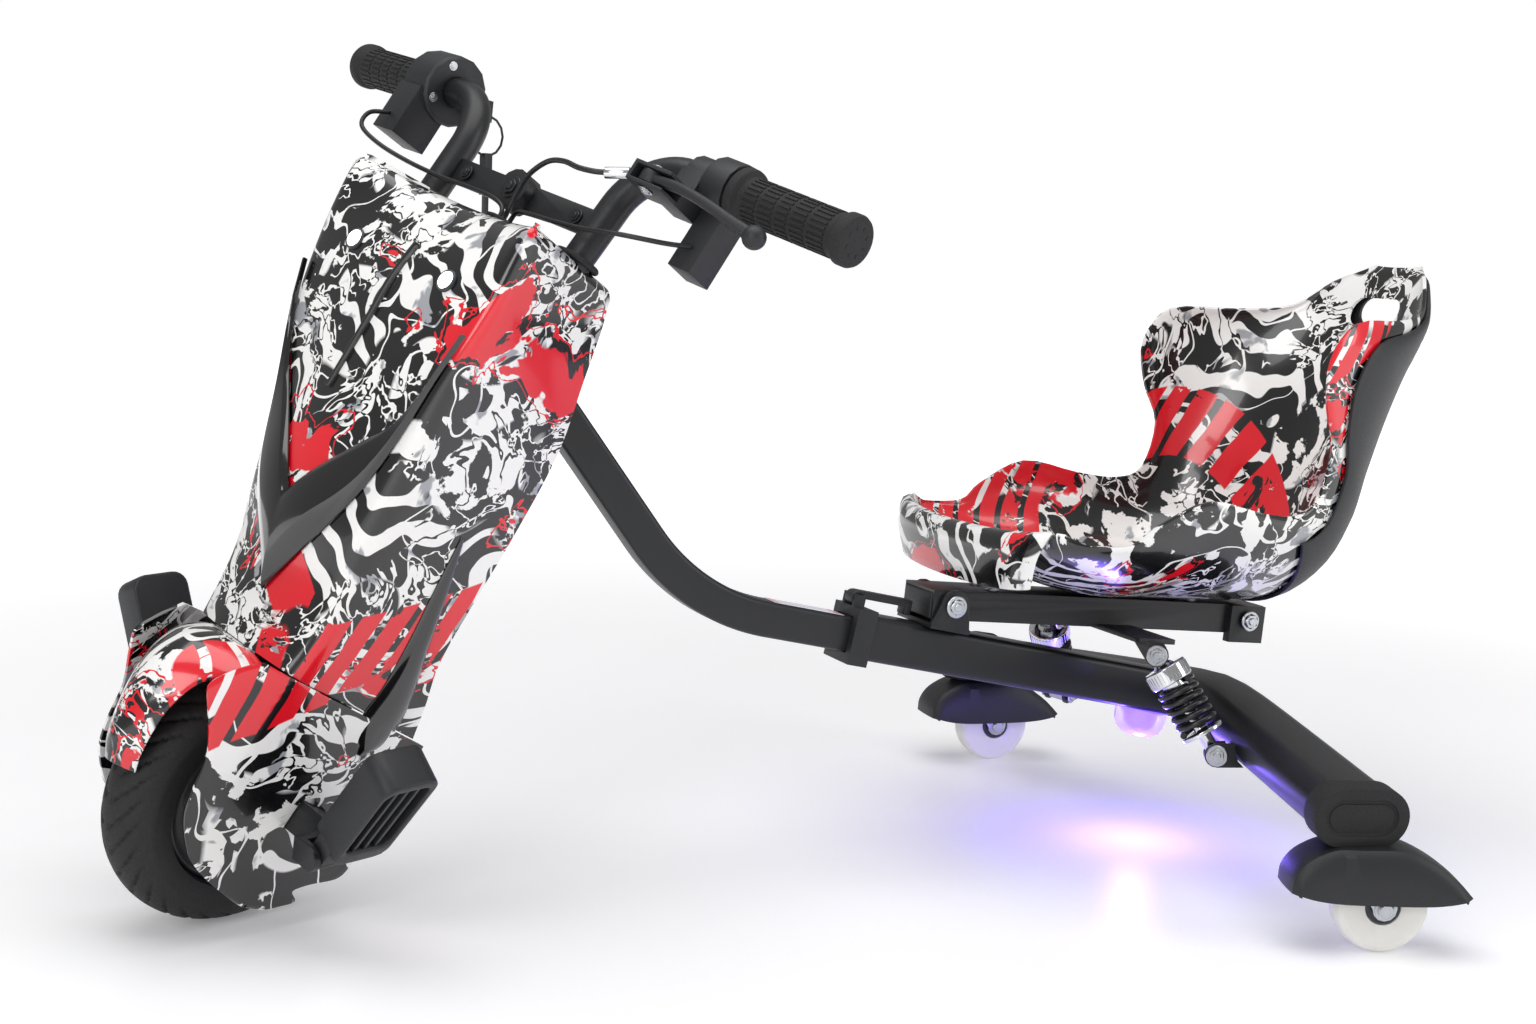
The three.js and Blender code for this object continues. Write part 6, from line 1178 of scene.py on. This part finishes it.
# The side lamp's middle, this far behind the wheel's axis.
LAMP_N = -40.4
cover_levels = curve_points([(back, front, s) for s, back, front in COVER_EDGES], 4)
for name, side in SIDES:
    face = []
    for back, front, s in cover_levels:
        line = []
        for j in range(33):
            n = back + (front - back) * (j / 32)
            top = shield_side(min(n, 70), 97.5, 0)
            top -= max(0.0, n - 62) * 0.42
            share = min(1.0, max(0.0, (s + 6) / 102)) ** 1.4
            out = COVER_Y + (top - COVER_Y) * share + 1.2 * math.sin(math.pi * j / 32)
            line.append(Vector((n, side * out, s)))
        face.append(line)
    window = block((-25.6, -2.4), (side * 40, side * 80), (2.4, 25.6))
    lamp_hole = lathed([(0, side * 40), (7.6, side * 40), (7.6, side * 80), (0, side * 80)], 32)
    lamp_hole = ([p + Vector((LAMP_N, 0, 14)) for p in lamp_hole[0]], lamp_hole[1])
    made(f"wheel_side_{name}", shell(face, offset(face, -side * 2.4)), steering, body_print, "steering",
         [f"wheel_cover_{name}"], cuts=[window, lamp_hole], bevel=0.5, sharp=50)
    refined(f"side_lamp_{name}", lens, "steering", bevel=0.8, steps=3)
    refined(f"peg_bracket_{name}", powder_coat, "steering", bevel=0.9)
    hinge = steering @ at(-14, side * 112, 14) @ turn("Y", 32) @ turn("X", -33 * side)
    outline = [(x, z + 59) for x, z in rounded_box(22, 49, 11, 5)]
    pad = swept([(0, -15, 0), (0, 15, 0)], [(z, -x) for x, z in outline], (0, 0, 1))
    barrel = lathed([(0, 0), (8.4, 0), (8.4, 44), (0, 44)], 32)
    barrel = ([Vector((p.y - 22, p.x, p.z)) for p in barrel[0]], barrel[1])
    web = block((-22, 22), (-8.2, 8.2), (0, 22))
    inner = [(x, z + 62) for x, z in rounded_box(17, 38, 7, 5)]
    hollow = swept([(0, side * -9.5, 0), (0, side * 40, 0)], [(z, -x) for x, z in inner], (0, 0, 1))
    bore = lathed([(0, -30), (4.5, -30), (4.5, 30), (0, 30)], 24)
    bore = ([Vector((p.y, p.x, p.z)) for p in bore[0]], bore[1])
    made(f"peg_frame_{name}", pad, hinge, nylon, f"foot_peg_{name}", [f"foot_peg_{name}"],
         cuts=[hollow], bevel=2.2, sharp=30, steps=3)
    made(f"peg_root_{name}", web, hinge, nylon, f"foot_peg_{name}", bevel=1.0, cuts=[bore])
    made(f"peg_barrel_{name}", barrel, hinge, nylon, f"foot_peg_{name}", cuts=[bore], bevel=0.5)
    bars = [block((x - 1.4, x + 1.4), sorted((side * -10, side * 13)), (24, 100)) for x in (-8.5, 0, 8.5)]
    made(f"peg_ribs_{name}", together(*bars), hinge, nylon, f"foot_peg_{name}", bevel=0.5)

# Cords: the brake cable in its sheath, and the throttle's and switch's leads. All three drop
# through one hole in the shield's roof, and end on the brake and on the controller inside.
sheath = coated("pvc_cable_sheath", "rubber", "#141415", 0.38, 2.0, 0.03, (0.32, 0.46))
CORDS = (("brake_cable", 1.9, ((107.6, 110.7, 487.6), (111.6, 104.3, 484.2), (114.5, 92, 482),
    (113, 74, 483), (105, 50, 481), (95, 28, 470), (88, 19, 455), (84.5, 17.5, 440), (85, 18, 425),
    (89, 18, 400), (96, 9, 372), (92, -8, 335), (70, -24, 290), (63, -32, 220), (59, -38, 160),
    (50, -42, 115), (41, -40, 75), (33.5, -38, 48), (32, -37.5, 37))),
    ("throttle_lead", 1.7, ((83.5, -165, 480), (99, -164, 470), (108, -150, 456), (105, -125, 449),
    (96, -95, 447), (91, -60, 447), (90, -25, 448), (92, 5, 447), (92, 20, 442), (91.5, 22, 428),
    (92, 21.5, 402), (86, 20, 378), (64, 14, 360), (44.5, 6, 352))),
    ("switch_lead", 1.7, ((62.3, 167.6, 474), (76, 160, 466), (92, 135, 456), (94, 105, 450),
    (94, 75, 447), (92, 48, 446), (88, 31, 445), (85, 25.5, 438), (85.5, 26, 425), (87, 28, 400),
    (83, 28, 378), (66, 27, 358), (44.5, 24, 344))))
for name, radius, points in CORDS:
    route = curve_points(points, 6)
    length = sum((b - a).length for a, b in zip(route, route[1:])) / 1000
    piece = made(f"{name}_sheath", swept(route, ring(radius, 16)), steering, sheath, "steering",
                 [name], sharp=60)

low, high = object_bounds()
